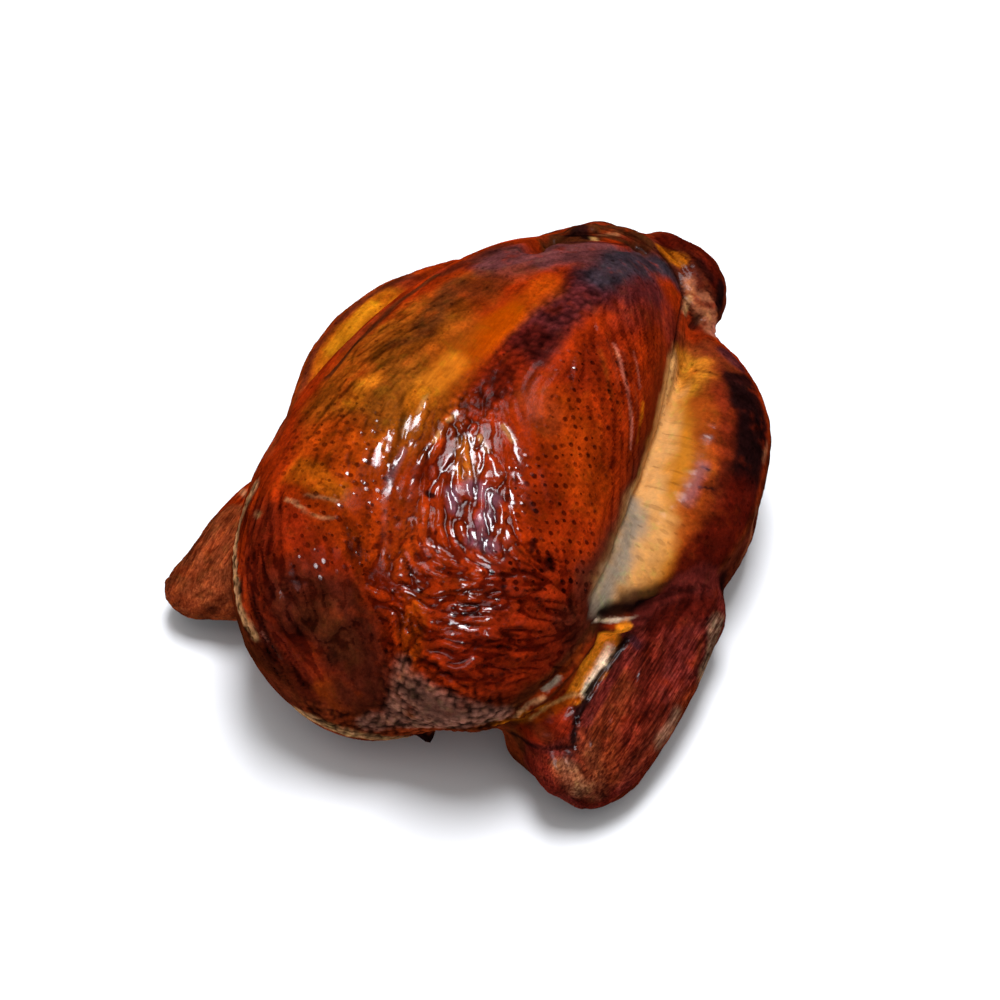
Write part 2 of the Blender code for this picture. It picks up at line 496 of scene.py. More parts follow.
@dataclass(frozen=True)
class Grain:
    """The ways in which the whole skin was pulled, and the wrinkles that this draws."""

    lays: tuple[Lay, ...]
    spread: float = 36.0
    stride: float = 1.2

    def heading(self, points: Points, uprights: Points) -> Points:
        """Blend the nearest lays.

        Args:
            points: Places in mm.
            uprights: Which way the skin faces there.

        Returns:
            A direction of length one along the skin for each place.
        """
        total = np.zeros_like(points)
        for lay in self.lays:
            start, end = np.array(lay.start, dtype=float), np.array(lay.end, dtype=float)
            axis = end - start
            along = np.clip((points - start) @ axis / (axis @ axis), 0, 1)
            gap = points - start - along[:, None] * axis
            weight = 1 / ((gap * gap).sum(axis=1) + self.spread) ** 2
            total += weight[:, None] * axis / math.sqrt(axis @ axis)
        total = total - (total * uprights).sum(axis=1, keepdims=True) * uprights
        return unit(total)

    def wrinkles(self, points: Points, uprights: Points, crease: Crease) -> Values:
        """Smear noise along the grain, as skin creases.

        Args:
            points: Places in mm.
            uprights: Which way the skin faces there.
            crease: The kind of wrinkle.

        Returns:
            A height for each place, of mean 0 and spread 1.
        """
        noise = Noise(crease.seed)
        total = noise.at(points, crease.width)
        steps = max(1, round(crease.reach / self.stride))
        for way in (1, -1):
            place = points.copy()
            for step in range(1, steps + 1):
                place = place + way * self.stride * self.heading(place, uprights)
                total += (1 - step / (steps + 1)) * noise.at(place, crease.width)
        return (total - total.mean()) / total.std()


# Colours -------------------------------------------------------------------------


class Tint(Enum):
    """What smoke, fat and flesh look like on this bird, as screen colours. Some also serve as painted shade
    in creases and hollows, and as painted highlights and reflections.
    """

    EMBER = "8a3303"
    AMBER = "9e5009"
    MAHOGANY = "5c180a"
    CINNABAR = "7c2004"
    BLOOD = "6a1806"
    WINE = "5e1d17"
    SOOT_AND_SHADE = "150606"
    DUSK = "38161a"
    MAUVE = "522a2a"
    SLATE = "2b2329"
    OLIVE = "6b360a"
    UMBER = "3c1a0a"
    TERRACOTTA = "822803"
    RUST = "6d2810"
    BARK = "48190e"
    CREAM = "bf8950"
    BONE = "80705f"
    IVORY = "e6c6a8"
    MAROON = "430b04"
    TAN = "a5764f"
    FLESH = "9c5a3d"
    CLAY = "7a3519"
    PUTTY = "8d6c54"
    HIDE = "7d5244"
    HONEY = "7d3a09"
    CORAL = "b0604c"
    MARIGOLD = "8f3500"
    APRICOT = "aa661a"
    BUTTER = "b47410"
    LILAC = "6c5468"
    COPPER = "84310a"
    GOLD = "d87a1a"

    @property
    def light(self) -> np.ndarray:
        """The colour as linear light."""
        screen = np.array([int(self.value[at : at + 2], 16) / 255 for at in (0, 2, 4)])
        return np.where(screen <= 0.04045, screen / 12.92, ((screen + 0.055) / 1.055) ** 2.4)


BASE_TINT = Tint.CINNABAR
# Zones of colour, each painted over the one before. Paths and widths are in mm. Some zones are painted shade
# in creases and hollows, and some are painted highlights and reflections on the wet skin.
HIDDEN = (
    Patch("underside", Tint.RUST, ((0, -90, 0), (0, 80, 0)), 45, 25, 0.9),
    Patch("outside of the right leg", Tint.BARK, ((92, 45, 34), (98, 20, 28), (94, 0, 26)), 11, 9, 0.9),
    Patch("outside of the left leg", Tint.BARK,
          ((-88, 45, 34), (-92, 15, 32), (-88, -20, 30)), 11, 12, 0.7),
    Patch("tail end", Tint.BARK, ((-30, 95, 40), (0, 110, 40), (30, 95, 40)), 16, 16, 0.8),
    Patch("outside of the right wing", Tint.MAROON,
          ((104, -30, 20), (102, -60, 14), (96, -95, 10)), 9, 9, 0.8),
    Patch("left drumstick, low", Tint.COPPER, ((-84, -25, 48), (-86, 5, 46), (-80, 35, 46)), 8, 18, 0.8),
    Patch("side of the neck", Tint.BARK, ((-50, -95, 30), (-30, -118, 25)), 12, 12, 0.7),
)
RIGHT_BREAST_PAINT = (
    # Right flank and its smoke: darker toward the leg, smoke marks and painted shade where the breast meets
    # the leg.
    Patch("right flank", Tint.BARK,
          ((50, 9, 61), (57, -18, 65), (60, -41, 72), (61, -58, 72), (60, -76, 67)), 4.4, 10.9, 0.95),
    Patch("right flank smoke and shade", Tint.SOOT_AND_SHADE, ((58, -16, 63), (61, -36, 69), (63, -51, 69)), 2.2, 7.3, 0.6),
    Patch("right lobe glow", Tint.EMBER, ((26, -15, 101), (36, -18, 94), (43, -24, 88)), 5.1, 12.4, 0.35),
    Patch("right lobe low", Tint.BLOOD,
          ((44, -76, 85), (55, -67, 80), (52, -89, 71), (40, -95, 77)), 9.1, 10.9, 0.75),
    # Flank by the crease: painted shade beside the crease at the leg.
    Patch("flank by the crease", Tint.BARK,
          ((54, -5, 62), (59, -30, 69), (61, -48, 72), (61, -65, 71)), 5.5, 7.3, 0.85),
    Patch("upper lobe shade", Tint.BLOOD, ((21, 3, 104), (26, 14, 101), (27, 34, 97)), 3.6, 7.3, 0.6),
    Patch("lobe by the keel", Tint.RUST, ((14, -14, 103), (22, -17, 101)), 2.9, 5.8, 0.5),
    Patch("tail end of the right lobe", Tint.WINE,
          ((19, 43, 98), (26, 64, 79), (33, 59, 71)), 5.8, 9.5, 0.6),
    # Painted shade along the creases at the right leg and the knee.
    Patch("crease at the right leg", Tint.SOOT_AND_SHADE, ((48, 30, 60), (52, 7, 60), (58, -19, 64)), 0.7, 3.3, 0.6),
    Patch("crease at the knee", Tint.SOOT_AND_SHADE,
          ((53, 4, 61), (56, -13, 63), (61, -35, 69), (63, -50, 68), (65, -59, 61)), 2.2, 5.8, 0.85),
)
KEEL_PAINT = (
    Patch("keel smoke", Tint.DUSK, ((8, 38, 102), (4, 27, 104), (3, 15, 105), (3, 6, 105)), 4.4, 7.3, 0.85),
    Patch("keel mid", Tint.MAROON, ((3, 8, 105), (0, -3, 104), (0, -14, 103)), 4.4, 5.1, 0.7),
    Patch("keel foot", Tint.BLOOD,
          ((1, -4, 104), (0, -14, 103), (-4, -24, 102), (-4, -35, 101)), 3.6, 5.1, 0.7),
    Patch("keel crumbs", Tint.MAROON, ((1, -8, 104), (2, -16, 103)), 1.1, 3.3, 0.6),
    Patch("rump mauve", Tint.MAUVE,
          ((-29, 41, 93), (-18, 50, 93), (-7, 61, 92), (2, 66, 90)), 8, 8.7, 0.95),
    Patch("rump purple", Tint.DUSK, ((4, 44, 101), (16, 47, 98), (22, 65, 82)), 3.6, 6.5, 0.7),
    Patch("rump slate", Tint.SLATE,
          ((7, 50, 99), (10, 59, 94), (11, 74, 83), (14, 87, 71)), 4.7, 7.3, 0.95),
    Patch("slate by the crease", Tint.SLATE, ((16, 85, 71), (22, 84, 66)), 2.2, 3.3, 0.8),
    Patch("top of the amber stripe", Tint.EMBER, ((-6, 32, 102), (-9, 21, 103)), 3.3, 6.5, 0.7),
    Patch("left shoulder of the keel", Tint.MARIGOLD,
          ((-11, 14, 103), (-14, 1, 103), (-17, -14, 103), (-19, -29, 104)), 4.7, 5.1, 0.95),
    Patch("keel amber", Tint.AMBER, ((-19, -27, 104), (-21, -35, 104), (-22, -43, 104)), 3.3, 5.1, 0.9),
)
LEFT_BREAST_PAINT = (
    Patch("left side", Tint.HONEY,
          ((-41, -43, 101), (-43, -23, 99), (-36, -5, 100), (-25, -37, 104), (-32, -59, 103)),
          12.4, 13.1, 0.85),
    Patch("olive smoke", Tint.OLIVE, ((-40, -15, 100), (-38, 6, 98), (-31, 22, 98)), 7.3, 8, 0.5),
    Patch("mauve by the rump", Tint.RUST, ((-28, 20, 99), (-24, 31, 97), (-18, 38, 98)), 2.9, 5.1, 0.6),
    Patch("upper left rim", Tint.MAHOGANY, ((-73, 34, 57), (-68, 43, 55), (-47, 32, 87)), 2.2, 3.3, 0.7),
    Patch("dark upper rim", Tint.BARK, ((-45, 30, 89), (-40, 38, 89), (-36, 53, 84)), 2.5, 3.6, 0.7),
    Patch("olive side", Tint.OLIVE, ((-31, -27, 103), (-32, -43, 103), (-35, -53, 103)), 6.5, 8, 0.8),
    Patch("golden side", Tint.AMBER, ((-39, -32, 101), (-40, -44, 101)), 1.8, 4.4, 0.55),
    Patch("smoke smear", Tint.UMBER, ((-36, -1, 100), (-36, 10, 98), (-37, 22, 96)), 2.9, 4.7, 0.75),
    Patch("smoke smear low", Tint.UMBER, ((-41, -15, 99), (-32, -5, 101)), 1.1, 2.9, 0.6),
    Patch("golden spot", Tint.GOLD, ((-40, -37, 101), (-39, -33, 102)), 1.5, 3.3, 0.35),
    # Amber shine: painted highlights on the amber stripe.
    Patch("amber shine", Tint.GOLD, ((-17, -13, 103), (-19, -21, 103), (-21, -30, 104)), 2.2, 4.7, 0.4),
    Patch("amber shine 2", Tint.AMBER, ((-20, -32, 104), (-17, -43, 103)), 2.2, 4.4, 0.6),
    Patch("edge of the left lobe", Tint.UMBER,
          ((-49, 27, 87), (-54, 12, 87), (-56, -7, 90), (-57, -19, 90), (-58, -31, 90)), 1.1, 2.5, 0.9),
    Patch("left lobe", Tint.TERRACOTTA, ((-36, -65, 101), (-20, -78, 99), (-6, -79, 94)), 9.5, 12.4, 0.8),
    Patch("left lobe red", Tint.BLOOD, ((-26, -101, 90), (-19, -100, 90), (-35, -96, 92)), 5.8, 8, 0.7),
    Patch("left flank", Tint.MAHOGANY, ((-47, -93, 87), (-39, -109, 81), (-27, -117, 73)), 4.4, 7.3, 0.75),
    Patch("left flank low", Tint.BARK, ((-29, -120, 68), (-20, -120, 60), (-14, -121, 48)), 2.9, 5.1, 0.6),
    Patch("left front red", Tint.BLOOD, ((-30, -114, 78), (-23, -119, 66), (-12, -122, 45)), 2.2, 5.1, 0.5),
)
FRONT_PAINT = (
    Patch("front ember", Tint.EMBER, ((-6, -120, 48), (3, -120, 45), (12, -117, 43)), 2.5, 5.1, 0.7),
    Patch("wishbone hollow", Tint.BARK,
          ((-21, -110, 81), (-10, -106, 77), (-2, -109, 65), (8, -116, 51)), 8, 9.5, 0.9),
    Patch("hollow olive", Tint.UMBER, ((-15, -109, 77), (-4, -111, 63)), 3.6, 6.5, 0.6),
    Patch("ridge by the hollow", Tint.EMBER,
          ((13, -93, 83), (19, -105, 73), (20, -113, 56)), 1.8, 4.4, 0.6),
    Patch("neck skin", Tint.HIDE, ((18, -108, 68), (19, -113, 57), (17, -116, 41)), 1.5, 4, 0.75),
    Patch("neck skin mid", Tint.HIDE, ((24, -113, 58), (32, -112, 56), (29, -113, 50)), 3.3, 4, 0.8),
    Patch("neck skin right", Tint.HIDE, ((25, -111, 64), (36, -110, 60), (46, -105, 55)), 2.2, 4, 0.75),
    Patch("neck skin low", Tint.HIDE,
          ((10, -119, 37), (26, -113, 41), (43, -108, 52), (51, -101, 51)), 2.9, 3.6, 0.85),
    Patch("neck nub", Tint.SOOT_AND_SHADE, ((23, -106, 19),), 3.3, 1.5),
    Patch("neck rim", Tint.TAN,
          ((-20, -122, 26), (-10, -124, 29), (-2, -123, 28), (8, -120, 27), (17, -114, 22)), 1.8, 3.3),
    Patch("neck rim dark", Tint.SOOT_AND_SHADE,
          ((-15, -124, 29), (-5, -124, 31), (4, -122, 30), (12, -118, 27)), 0.3, 1.1, 0.7),
    Patch("orange strip by the wing", Tint.AMBER, ((49, -102, 45), (57, -93, 40)), 1.1, 2.2, 0.75),
)
LEFT_LEG_PAINT = (
    Patch("left drumstick", Tint.AMBER, ((-75, -9, 60), (-76, 9, 60), (-73, 29, 58)), 2.5, 9.5, 0.9),
    Patch("left drumstick gold", Tint.BUTTER, ((-76, -2, 60), (-76, 9, 60), (-75, 21, 58)), 1.8, 4.7, 0.5),
    Patch("left drumstick rim", Tint.BARK,
          ((-80, -18, 54), (-84, -5, 53), (-84, 12, 54), (-79, 32, 54), (-72, 45, 53)), 1.1, 3.3, 0.8),
    Patch("over the left drumstick", Tint.RUST,
          ((-61, -15, 85), (-60, -3, 84), (-57, 10, 85)), 1.8, 3.6, 0.6),
    Patch("left knee", Tint.RUST, ((-79, -21, 54), (-66, -49, 78), (-63, -64, 81)), 2.2, 4.4, 0.7),
)
RIGHT_LEG_PAINT = (
    Patch("right drumstick", Tint.COPPER,
          ((48, 53, 61), (62, 29, 66), (72, 7, 63), (76, -10, 60), (77, -25, 57)), 9.5, 6.5),
    Patch("right drumstick gold", Tint.APRICOT,
          ((42, 55, 56), (54, 28, 64), (63, 8, 64), (66, -11, 63), (68, -27, 64)), 5.1, 9.5),
    Patch("gold by the knee", Tint.APRICOT, ((69, -23, 63), (71, -34, 62)), 2.2, 8.7, 0.6),
    Patch("inside of the drumstick", Tint.CREAM,
          ((39, 51, 65), (45, 30, 64), (50, 14, 60), (57, -6, 62)), 2.9, 6.5),
    Patch("pale knee", Tint.CREAM, ((61, -12, 63), (64, -28, 65), (66, -44, 66)), 2.9, 12.4, 0.8),
    Patch("whitish knee", Tint.BONE,
          ((56, -13, 63), (61, -31, 67), (63, -45, 69), (64, -53, 66)), 1.1, 7.3, 0.95),
    Patch("red side of the drumstick", Tint.MAHOGANY,
          ((56, 58, 61), (67, 43, 65), (73, 26, 64), (78, 7, 61), (82, -12, 54)), 2.9, 8, 0.85),
    Patch("orange side of the drumstick", Tint.COPPER,
          ((56, 41, 65), (66, 22, 65), (72, 2, 63), (76, -13, 60)), 2.2, 5.8, 0.8),
    Patch("smoked side of the drumstick", Tint.SOOT_AND_SHADE,
          ((63, 58, 61), (71, 51, 60), (77, 42, 59), (81, 29, 58), (85, 16, 54)), 5.8, 5.8, 0.97),
    Patch("smoke creeping over", Tint.SOOT_AND_SHADE, ((76, 20, 62), (76, 10, 62)), 1.5, 3.6, 0.5),
    Patch("smoke heart", Tint.SOOT_AND_SHADE, ((67, 51, 62), (76, 41, 60), (82, 24, 58)), 4.4, 2.9, 0.9),
    Patch("smoked side low", Tint.MAROON, ((84, 14, 55), (85, -2, 53), (82, -17, 52)), 5.8, 7.3, 0.95),
    Patch("shank", Tint.RUST, ((36, 65, 60), (43, 66, 57)), 2.5, 3.6, 0.85),
    Patch("shank smoke", Tint.RUST, ((44, 70, 57), (56, 64, 59)), 2.5, 3.6, 0.9),
    Patch("shank edge", Tint.DUSK, ((50, 71, 56), (58, 67, 56)), 1.8, 2.9, 0.9),
    Patch("rim of the drumstick", Tint.FLESH, ((89, 21, 43), (89, 19, 27), (90, 9, 25)), 0.2, 2.9, 0.55),
    Patch("bump on the drumstick", Tint.FLESH, ((81, 43, 52), (84, 37, 52)), 0.2, 2.5, 0.55),
    Patch("crack in the gloss", Tint.SOOT_AND_SHADE, ((71, 7, 64), (76, 10, 62)), 0.2, 0.6, 0.9),
    Patch("crack in the gloss 2", Tint.SOOT_AND_SHADE, ((68, 15, 65), (71, 15, 64)), 0.2, 0.6, 0.8),
    # Lilac gloss: a painted reflection on the drumstick.
    Patch("lilac gloss", Tint.LILAC, ((68, 15, 65), (71, 1, 63)), 0.5, 3.6, 0.32),
    # Under the knee, shadow of the knee and leg meets wing: painted shade below the knee and in the crease
    # between leg and wing.
    Patch("under the knee", Tint.SOOT_AND_SHADE, ((66, -54, 62), (72, -48, 59), (76, -39, 53)), 1.5, 3.3, 0.95),
    Patch("shadow of the knee", Tint.SOOT_AND_SHADE,
          ((71, -46, 62), (76, -35, 57), (83, -21, 49), (89, -4, 30)), 1.5, 4.7, 0.85),
    Patch("leg meets wing", Tint.SOOT_AND_SHADE,
          ((74, -43, 57), (78, -34, 52), (84, -23, 46), (90, -4, 26)), 1.1, 2.2, 0.95),
    Patch("knee fold", Tint.IVORY,
          ((65, -59, 63), (69, -54, 59), (73, -49, 55), (77, -42, 51)), 0.4, 0.9, 0.9),
)
HOCK_PAINT = (
    Patch("right hock", Tint.BARK, ((8, 93, 69), (16, 96, 64), (27, 94, 64), (34, 92, 60)), 5.5, 4.4, 0.95),
    Patch("hock tan", Tint.FLESH, ((25, 88, 63), (29, 84, 60)), 1.1, 2.5, 0.6),
    Patch("hock line", Tint.SOOT_AND_SHADE, ((26, 83, 62), (30, 81, 59), (33, 78, 57)), 0.3, 0.9, 0.8),
    Patch("hock line 2", Tint.MAROON, ((30, 84, 60), (34, 83, 58)), 0.3, 1.1, 0.8),
    Patch("right hock glow", Tint.AMBER, ((11, 95, 66), (18, 95, 64)), 1.8, 2.5, 0.9),
    Patch("hock crown", Tint.MAROON,
          ((11, 103, 63), (18, 104, 63), (27, 101, 62), (35, 96, 59)), 2.5, 5.1, 0.9),
    Patch("hock crown soot", Tint.SOOT_AND_SHADE, ((25, 98, 64), (32, 95, 62)), 0.7, 2.5, 0.7),
    Patch("hock soot", Tint.SOOT_AND_SHADE, ((36, 97, 58), (38, 90, 55)), 1.5, 2.5, 0.95),
    Patch("hock flesh", Tint.FLESH, ((33, 85, 59), (36, 83, 56), (40, 80, 53)), 2.5, 3.3, 0.9),
    Patch("hock sinew", Tint.MAHOGANY, ((29, 85, 60), (33, 84, 59), (37, 87, 57)), 0.5, 1.5, 0.8),
    Patch("hock sinew 2", Tint.MAHOGANY, ((37, 75, 56), (38, 80, 55)), 0.4, 1.5, 0.7),
    Patch("hock fat", Tint.TAN, ((28, 83, 60), (30, 77, 60)), 0.7, 1.5, 0.7),
    Patch("hock pink", Tint.CORAL, ((40, 85, 50), (42, 78, 53)), 0.7, 1.8, 0.7),
    # Hock hollow: painted shade in the hole of the hock.
    Patch("hock hollow", Tint.SOOT_AND_SHADE, ((34, 75, 56), (35, 79, 56)), 0.6, 2.2, 0.8),
    Patch("skin edge at the hock", Tint.SOOT_AND_SHADE,
          ((11, 93, 68), (20, 89, 65), (27, 82, 62), (33, 67, 64), (37, 54, 67)), 0.5, 1.5, 0.85),
    Patch("left hock", Tint.UMBER,
          ((-18, 72, 81), (-16, 83, 75), (-11, 89, 72), (0, 90, 73)), 8.7, 3.6, 0.97),
    # Below the left hock: painted shade along the groove under the hock.
    Patch("below the left hock", Tint.SOOT_AND_SHADE,
          ((-17, 65, 85), (-8, 71, 85), (-2, 76, 83), (5, 86, 75)), 0.6, 1.8, 0.7),
    Patch("left hock red", Tint.MAHOGANY, ((-6, 87, 75), (0, 88, 75)), 1.5, 2.2, 0.6),
    Patch("left hock tan", Tint.TAN, ((-10, 83, 77), (-5, 87, 75)), 0.5, 1.8, 0.3),
    Patch("left hock soot", Tint.SOOT_AND_SHADE, ((-19, 76, 78), (-17, 82, 74), (-12, 76, 81)), 1.5, 1.8, 0.9),
    Patch("left hock fat", Tint.CREAM, ((-11, 79, 79), (-8, 75, 82)), 0.8, 1.1, 0.9),
)
RIGHT_WING_PAINT = (
    Patch("right wing", Tint.WINE,
          ((90, -25, 39), (84, -46, 39), (86, -67, 37), (85, -92, 31), (76, -103, 29)), 16, 4.4),
    Patch("wing glow", Tint.RUST, ((99, -49, 21), (95, -73, 27), (92, -88, 26)), 2.9, 7.3, 0.5),
    Patch("wing heart", Tint.MAHOGANY, ((82, -50, 40), (86, -67, 37), (86, -82, 34)), 5.1, 7.3, 0.6),
    Patch("wing fat lines", Tint.TAN, ((81, -90, 35), (88, -98, 21)), 1.5, 3.6, 0.35),
    Patch("wing fibres", Tint.RUST, ((77, -69, 41), (81, -87, 36), (87, -95, 27)), 4.4, 7.3, 0.8),
    Patch("wing rind", Tint.TAN, ((76, -100, 32), (83, -101, 25)), 1.5, 4.4, 0.4),
    Patch("wing top", Tint.MAROON, ((92, -20, 37), (86, -29, 42), (79, -40, 45)), 2.2, 4.4, 0.8),
    Patch("wing wrist", Tint.MAROON, ((91, -96, 18), (87, -100, 20)), 1.8, 5.1, 0.8),
    Patch("wing corner", Tint.BLOOD, ((65, -101, 29), (76, -103, 28)), 3.3, 5.1, 0.5),
    Patch("wing corner smoke", Tint.UMBER, ((53, -96, 30), (57, -97, 27)), 1.5, 2.9, 0.8),
    Patch("pimply wing edge", Tint.PUTTY, ((95, -22, 31), (97, -29, 25), (98, -38, 23)), 1.8, 4.7, 0.8),
    Patch("wing edge brown", Tint.RUST, ((94, -32, 33), (96, -39, 30)), 0.7, 2.5, 0.5),
    Patch("grey wing patch", Tint.PUTTY, ((99, -59, 25), (98, -70, 24)), 1.5, 3.3, 0.5),
    Patch("wing joint", Tint.BLOOD, ((62, -95, 38), (68, -90, 40)), 3.3, 2.5, 0.9),
    Patch("joint smoke", Tint.UMBER, ((59, -93, 39), (66, -95, 38)), 1.1, 2.5, 0.6),
    Patch("line over the joint", Tint.AMBER,
          ((52, -98, 41), (57, -95, 48), (61, -86, 42), (68, -79, 41)), 0.4, 1.5, 0.8),
    Patch("line under the joint", Tint.SOOT_AND_SHADE, ((53, -96, 30), (63, -98, 34), (75, -93, 36)), 0.4, 1.2, 0.85),
    Patch("line beside the joint", Tint.SOOT_AND_SHADE, ((69, -79, 42), (72, -86, 39), (75, -92, 36)), 0.5, 1.2, 0.9),
    Patch("armpit", Tint.UMBER,
          ((55, -95, 55), (60, -86, 58), (64, -73, 60), (65, -62, 61)), 1.8, 2.9, 0.75),
    Patch("armpit sinew", Tint.COPPER, ((59, -91, 52), (63, -81, 57), (65, -69, 60)), 0.4, 1.5, 0.55),
    Patch("pale spot", Tint.BONE, ((61, -87, 55), (63, -82, 56)), 0.9, 0.9, 0.9),
    Patch("armpit lines", Tint.COPPER, ((66, -65, 49), (65, -73, 46), (63, -80, 44)), 0.4, 1.5, 0.6),
    Patch("armpit light", Tint.TAN, ((55, -97, 47), (58, -93, 51), (61, -89, 52)), 0.4, 1.1, 0.7),
)
TORN_SKIN_PAINT = (
    Patch("torn skin", Tint.GOLD, ((67, -58, 53), (69, -55, 51), (73, -52, 53)), 2.5, 2.2),
    Patch("torn skin corner", Tint.GOLD, ((67, -59, 46), (69, -55, 46)), 2.9, 1.8),
    Patch("torn skin mid", Tint.GOLD, ((68, -60, 46), (68, -67, 45)), 4.7, 1.8),
    Patch("torn skin low", Tint.COPPER, ((67, -72, 57), (66, -74, 44)), 1.5, 1.8, 0.6),
    Patch("torn skin foot", Tint.GOLD, ((68, -70, 44), (68, -77, 42)), 2.9, 1.5, 0.9),
    Patch("wing by the tear", Tint.WINE,
          ((78, -49, 43), (76, -56, 43), (75, -61, 43), (75, -67, 42), (75, -75, 41), (75, -83, 39)),
          1.8, 1.1),
    Patch("torn skin tail", Tint.EMBER,
          ((69, -78, 42), (66, -81, 42), (63, -86, 41), (59, -91, 40)), 1.1, 1.8, 0.9),
    Patch("torn skin tail light", Tint.CREAM,
          ((68, -77, 42), (65, -80, 42), (61, -86, 42), (58, -92, 40)), 0.3, 0.9, 0.55),
    Patch("fat under the skin", Tint.IVORY,
          ((70, -57, 46), (70, -63, 45), (70, -71, 44), (71, -76, 43)), 0.8, 1.8, 0.95),
    Patch("torn rim", Tint.SOOT_AND_SHADE,
          ((74, -51, 46), (73, -54, 46), (73, -58, 45), (72, -60, 45), (73, -63, 45), (72, -66, 45),
           (72, -70, 44), (71, -73, 44), (72, -77, 42), (72, -84, 41), (74, -91, 37)), 0.9, 1.1, 0.97),
    Patch("bruise", Tint.DUSK, ((75, -50, 46), (77, -50, 43)), 1.1, 1.5, 0.95),
)
FINE_MARKS = (
    # The bright streaks are painted highlights along ridges of the right lobe by the leg.
    Patch("bright streak", Tint.CORAL,
          ((26, 24, 99), (33, 18, 96), (39, 12, 90), (44, 6, 83), (46, 1, 78)), 0.3, 1, 0.75),
    Patch("bright streak 2", Tint.CORAL, ((32, 28, 93), (39, 20, 87)), 0.2, 0.9, 0.55),
    Patch("bright streak 3", Tint.COPPER, ((24, 17, 102), (35, 6, 95)), 0.3, 1.1, 0.7),
    Patch("bright streak 4", Tint.AMBER, ((42, 17, 83), (46, 6, 76)), 0.3, 1.1, 0.7),
    Patch("dark streak", Tint.BARK, ((30, 24, 97), (44, 11, 82)), 0.3, 1.1, 0.6),
    Patch("dark streak 2", Tint.BARK, ((24, 23, 101), (35, 11, 95)), 0.3, 1.1, 0.5),
    # Painted shade along the crease by the right leg.
    Patch("dark line by the crease", Tint.UMBER, ((25, 57, 86), (39, 33, 80)), 0.2, 1.1, 0.5),
    Patch("light fold on the left", Tint.TAN,
          ((-41, -85, 94), (-37, -86, 96), (-32, -87, 96)), 0.2, 0.8, 0.6),
    Patch("amber at the left", Tint.AMBER,
          ((-44, -74, 96), (-32, -77, 99), (-25, -77, 100)), 1.8, 5.1, 0.5),
    Patch("light fold on the left 2", Tint.TAN,
          ((-35, -82, 97), (-29, -81, 99), (-24, -80, 99)), 0.2, 0.8, 0.45),
    Patch("light fold on the left 3", Tint.TAN,
          ((-31, -87, 96), (-26, -87, 97), (-22, -85, 97)), 0.2, 0.8, 0.45),
    Patch("tan by the left rim", Tint.TAN, ((-83, -58, 31), (-49, -91, 86)), 0.5, 1.5, 0.5),
    # Gold crumple, gold lines, lilac crumples and lilac streak: painted highlight colour under the wet
    # glints, gold and cream above and lilac below.
    Patch("gold crumple", Tint.GOLD, ((2, -39, 100), (8, -47, 98)), 1.8, 3.3, 0.35),
    Patch("gold line", Tint.CREAM, ((-18, -31, 104), (-17, -38, 103)), 0.2, 1.1, 0.5),
    Patch("gold line 2", Tint.CREAM, ((-19, -42, 104), (-17, -48, 103)), 0.2, 0.9, 0.4),
    Patch("gold line 3", Tint.CREAM, ((5, -34, 100), (10, -37, 99)), 0.4, 1.2, 0.6),
    Patch("gold line 4", Tint.CREAM, ((10, -27, 101), (16, -30, 100)), 0.3, 1.1, 0.5),
    Patch("gold line 5", Tint.CREAM, ((-6, -31, 102), (-7, -35, 102)), 0.3, 0.9, 0.5),
    Patch("gold line 6", Tint.CREAM, ((-7, -40, 102), (-7, -44, 101)), 0.3, 0.9, 0.5),
    Patch("lilac crumple", Tint.LILAC, ((7, -56, 97), (10, -61, 95)), 1.1, 2.5, 0.5),
    Patch("lilac crumple 2", Tint.LILAC, ((11, -51, 97), (20, -52, 96)), 1.5, 2.9, 0.5),
    Patch("lilac crumple 3", Tint.LILAC, ((21, -58, 95), (22, -67, 94), (28, -67, 93)), 1.5, 2.9, 0.5),
    Patch("lilac streak", Tint.LILAC, ((-14, -53, 102), (-13, -65, 100)), 0.4, 1.5, 0.35),
    Patch("black dots", Tint.SOOT_AND_SHADE, ((0, -61, 97), (2, -61, 97)), 0.6, 0.9, 0.9),
    Patch("black dot 2", Tint.SOOT_AND_SHADE, ((3, -77, 93),), 0.5, 0.8, 0.9),
    Patch("black dot 3", Tint.SOOT_AND_SHADE, ((39, -57, 92), (40, -60, 91)), 0.7, 0.9, 0.8),
    Patch("black dot 4", Tint.SOOT_AND_SHADE, ((38, -76, 88),), 0.6, 0.9, 0.8),
    Patch("black dot 5", Tint.SOOT_AND_SHADE, ((34, -86, 86),), 0.6, 0.9, 0.8),
    # Painted glints: pale highlights on the wet skin at the left front.
    Patch("painted glint at the left", Tint.CORAL, ((-31, -121, 66), (-28, -121, 64)), 0.3, 0.9, 0.6),
    Patch("painted glint at the left 2", Tint.CORAL, ((-26, -121, 63), (-23, -122, 59)), 0.3, 0.9, 0.6),
    Patch("painted glint at the left 3", Tint.CORAL, ((-21, -121, 57), (-19, -122, 51)), 0.3, 0.9, 0.5),
    Patch("painted glint at the left 4", Tint.CORAL, ((-11, -118, 55), (-10, -118, 53)), 0.3, 0.9, 0.5),
    Patch("dark left flank", Tint.SOOT_AND_SHADE,
          ((-38, -115, 74), (-31, -121, 66), (-23, -122, 51)), 1.1, 3.3, 0.55),
)
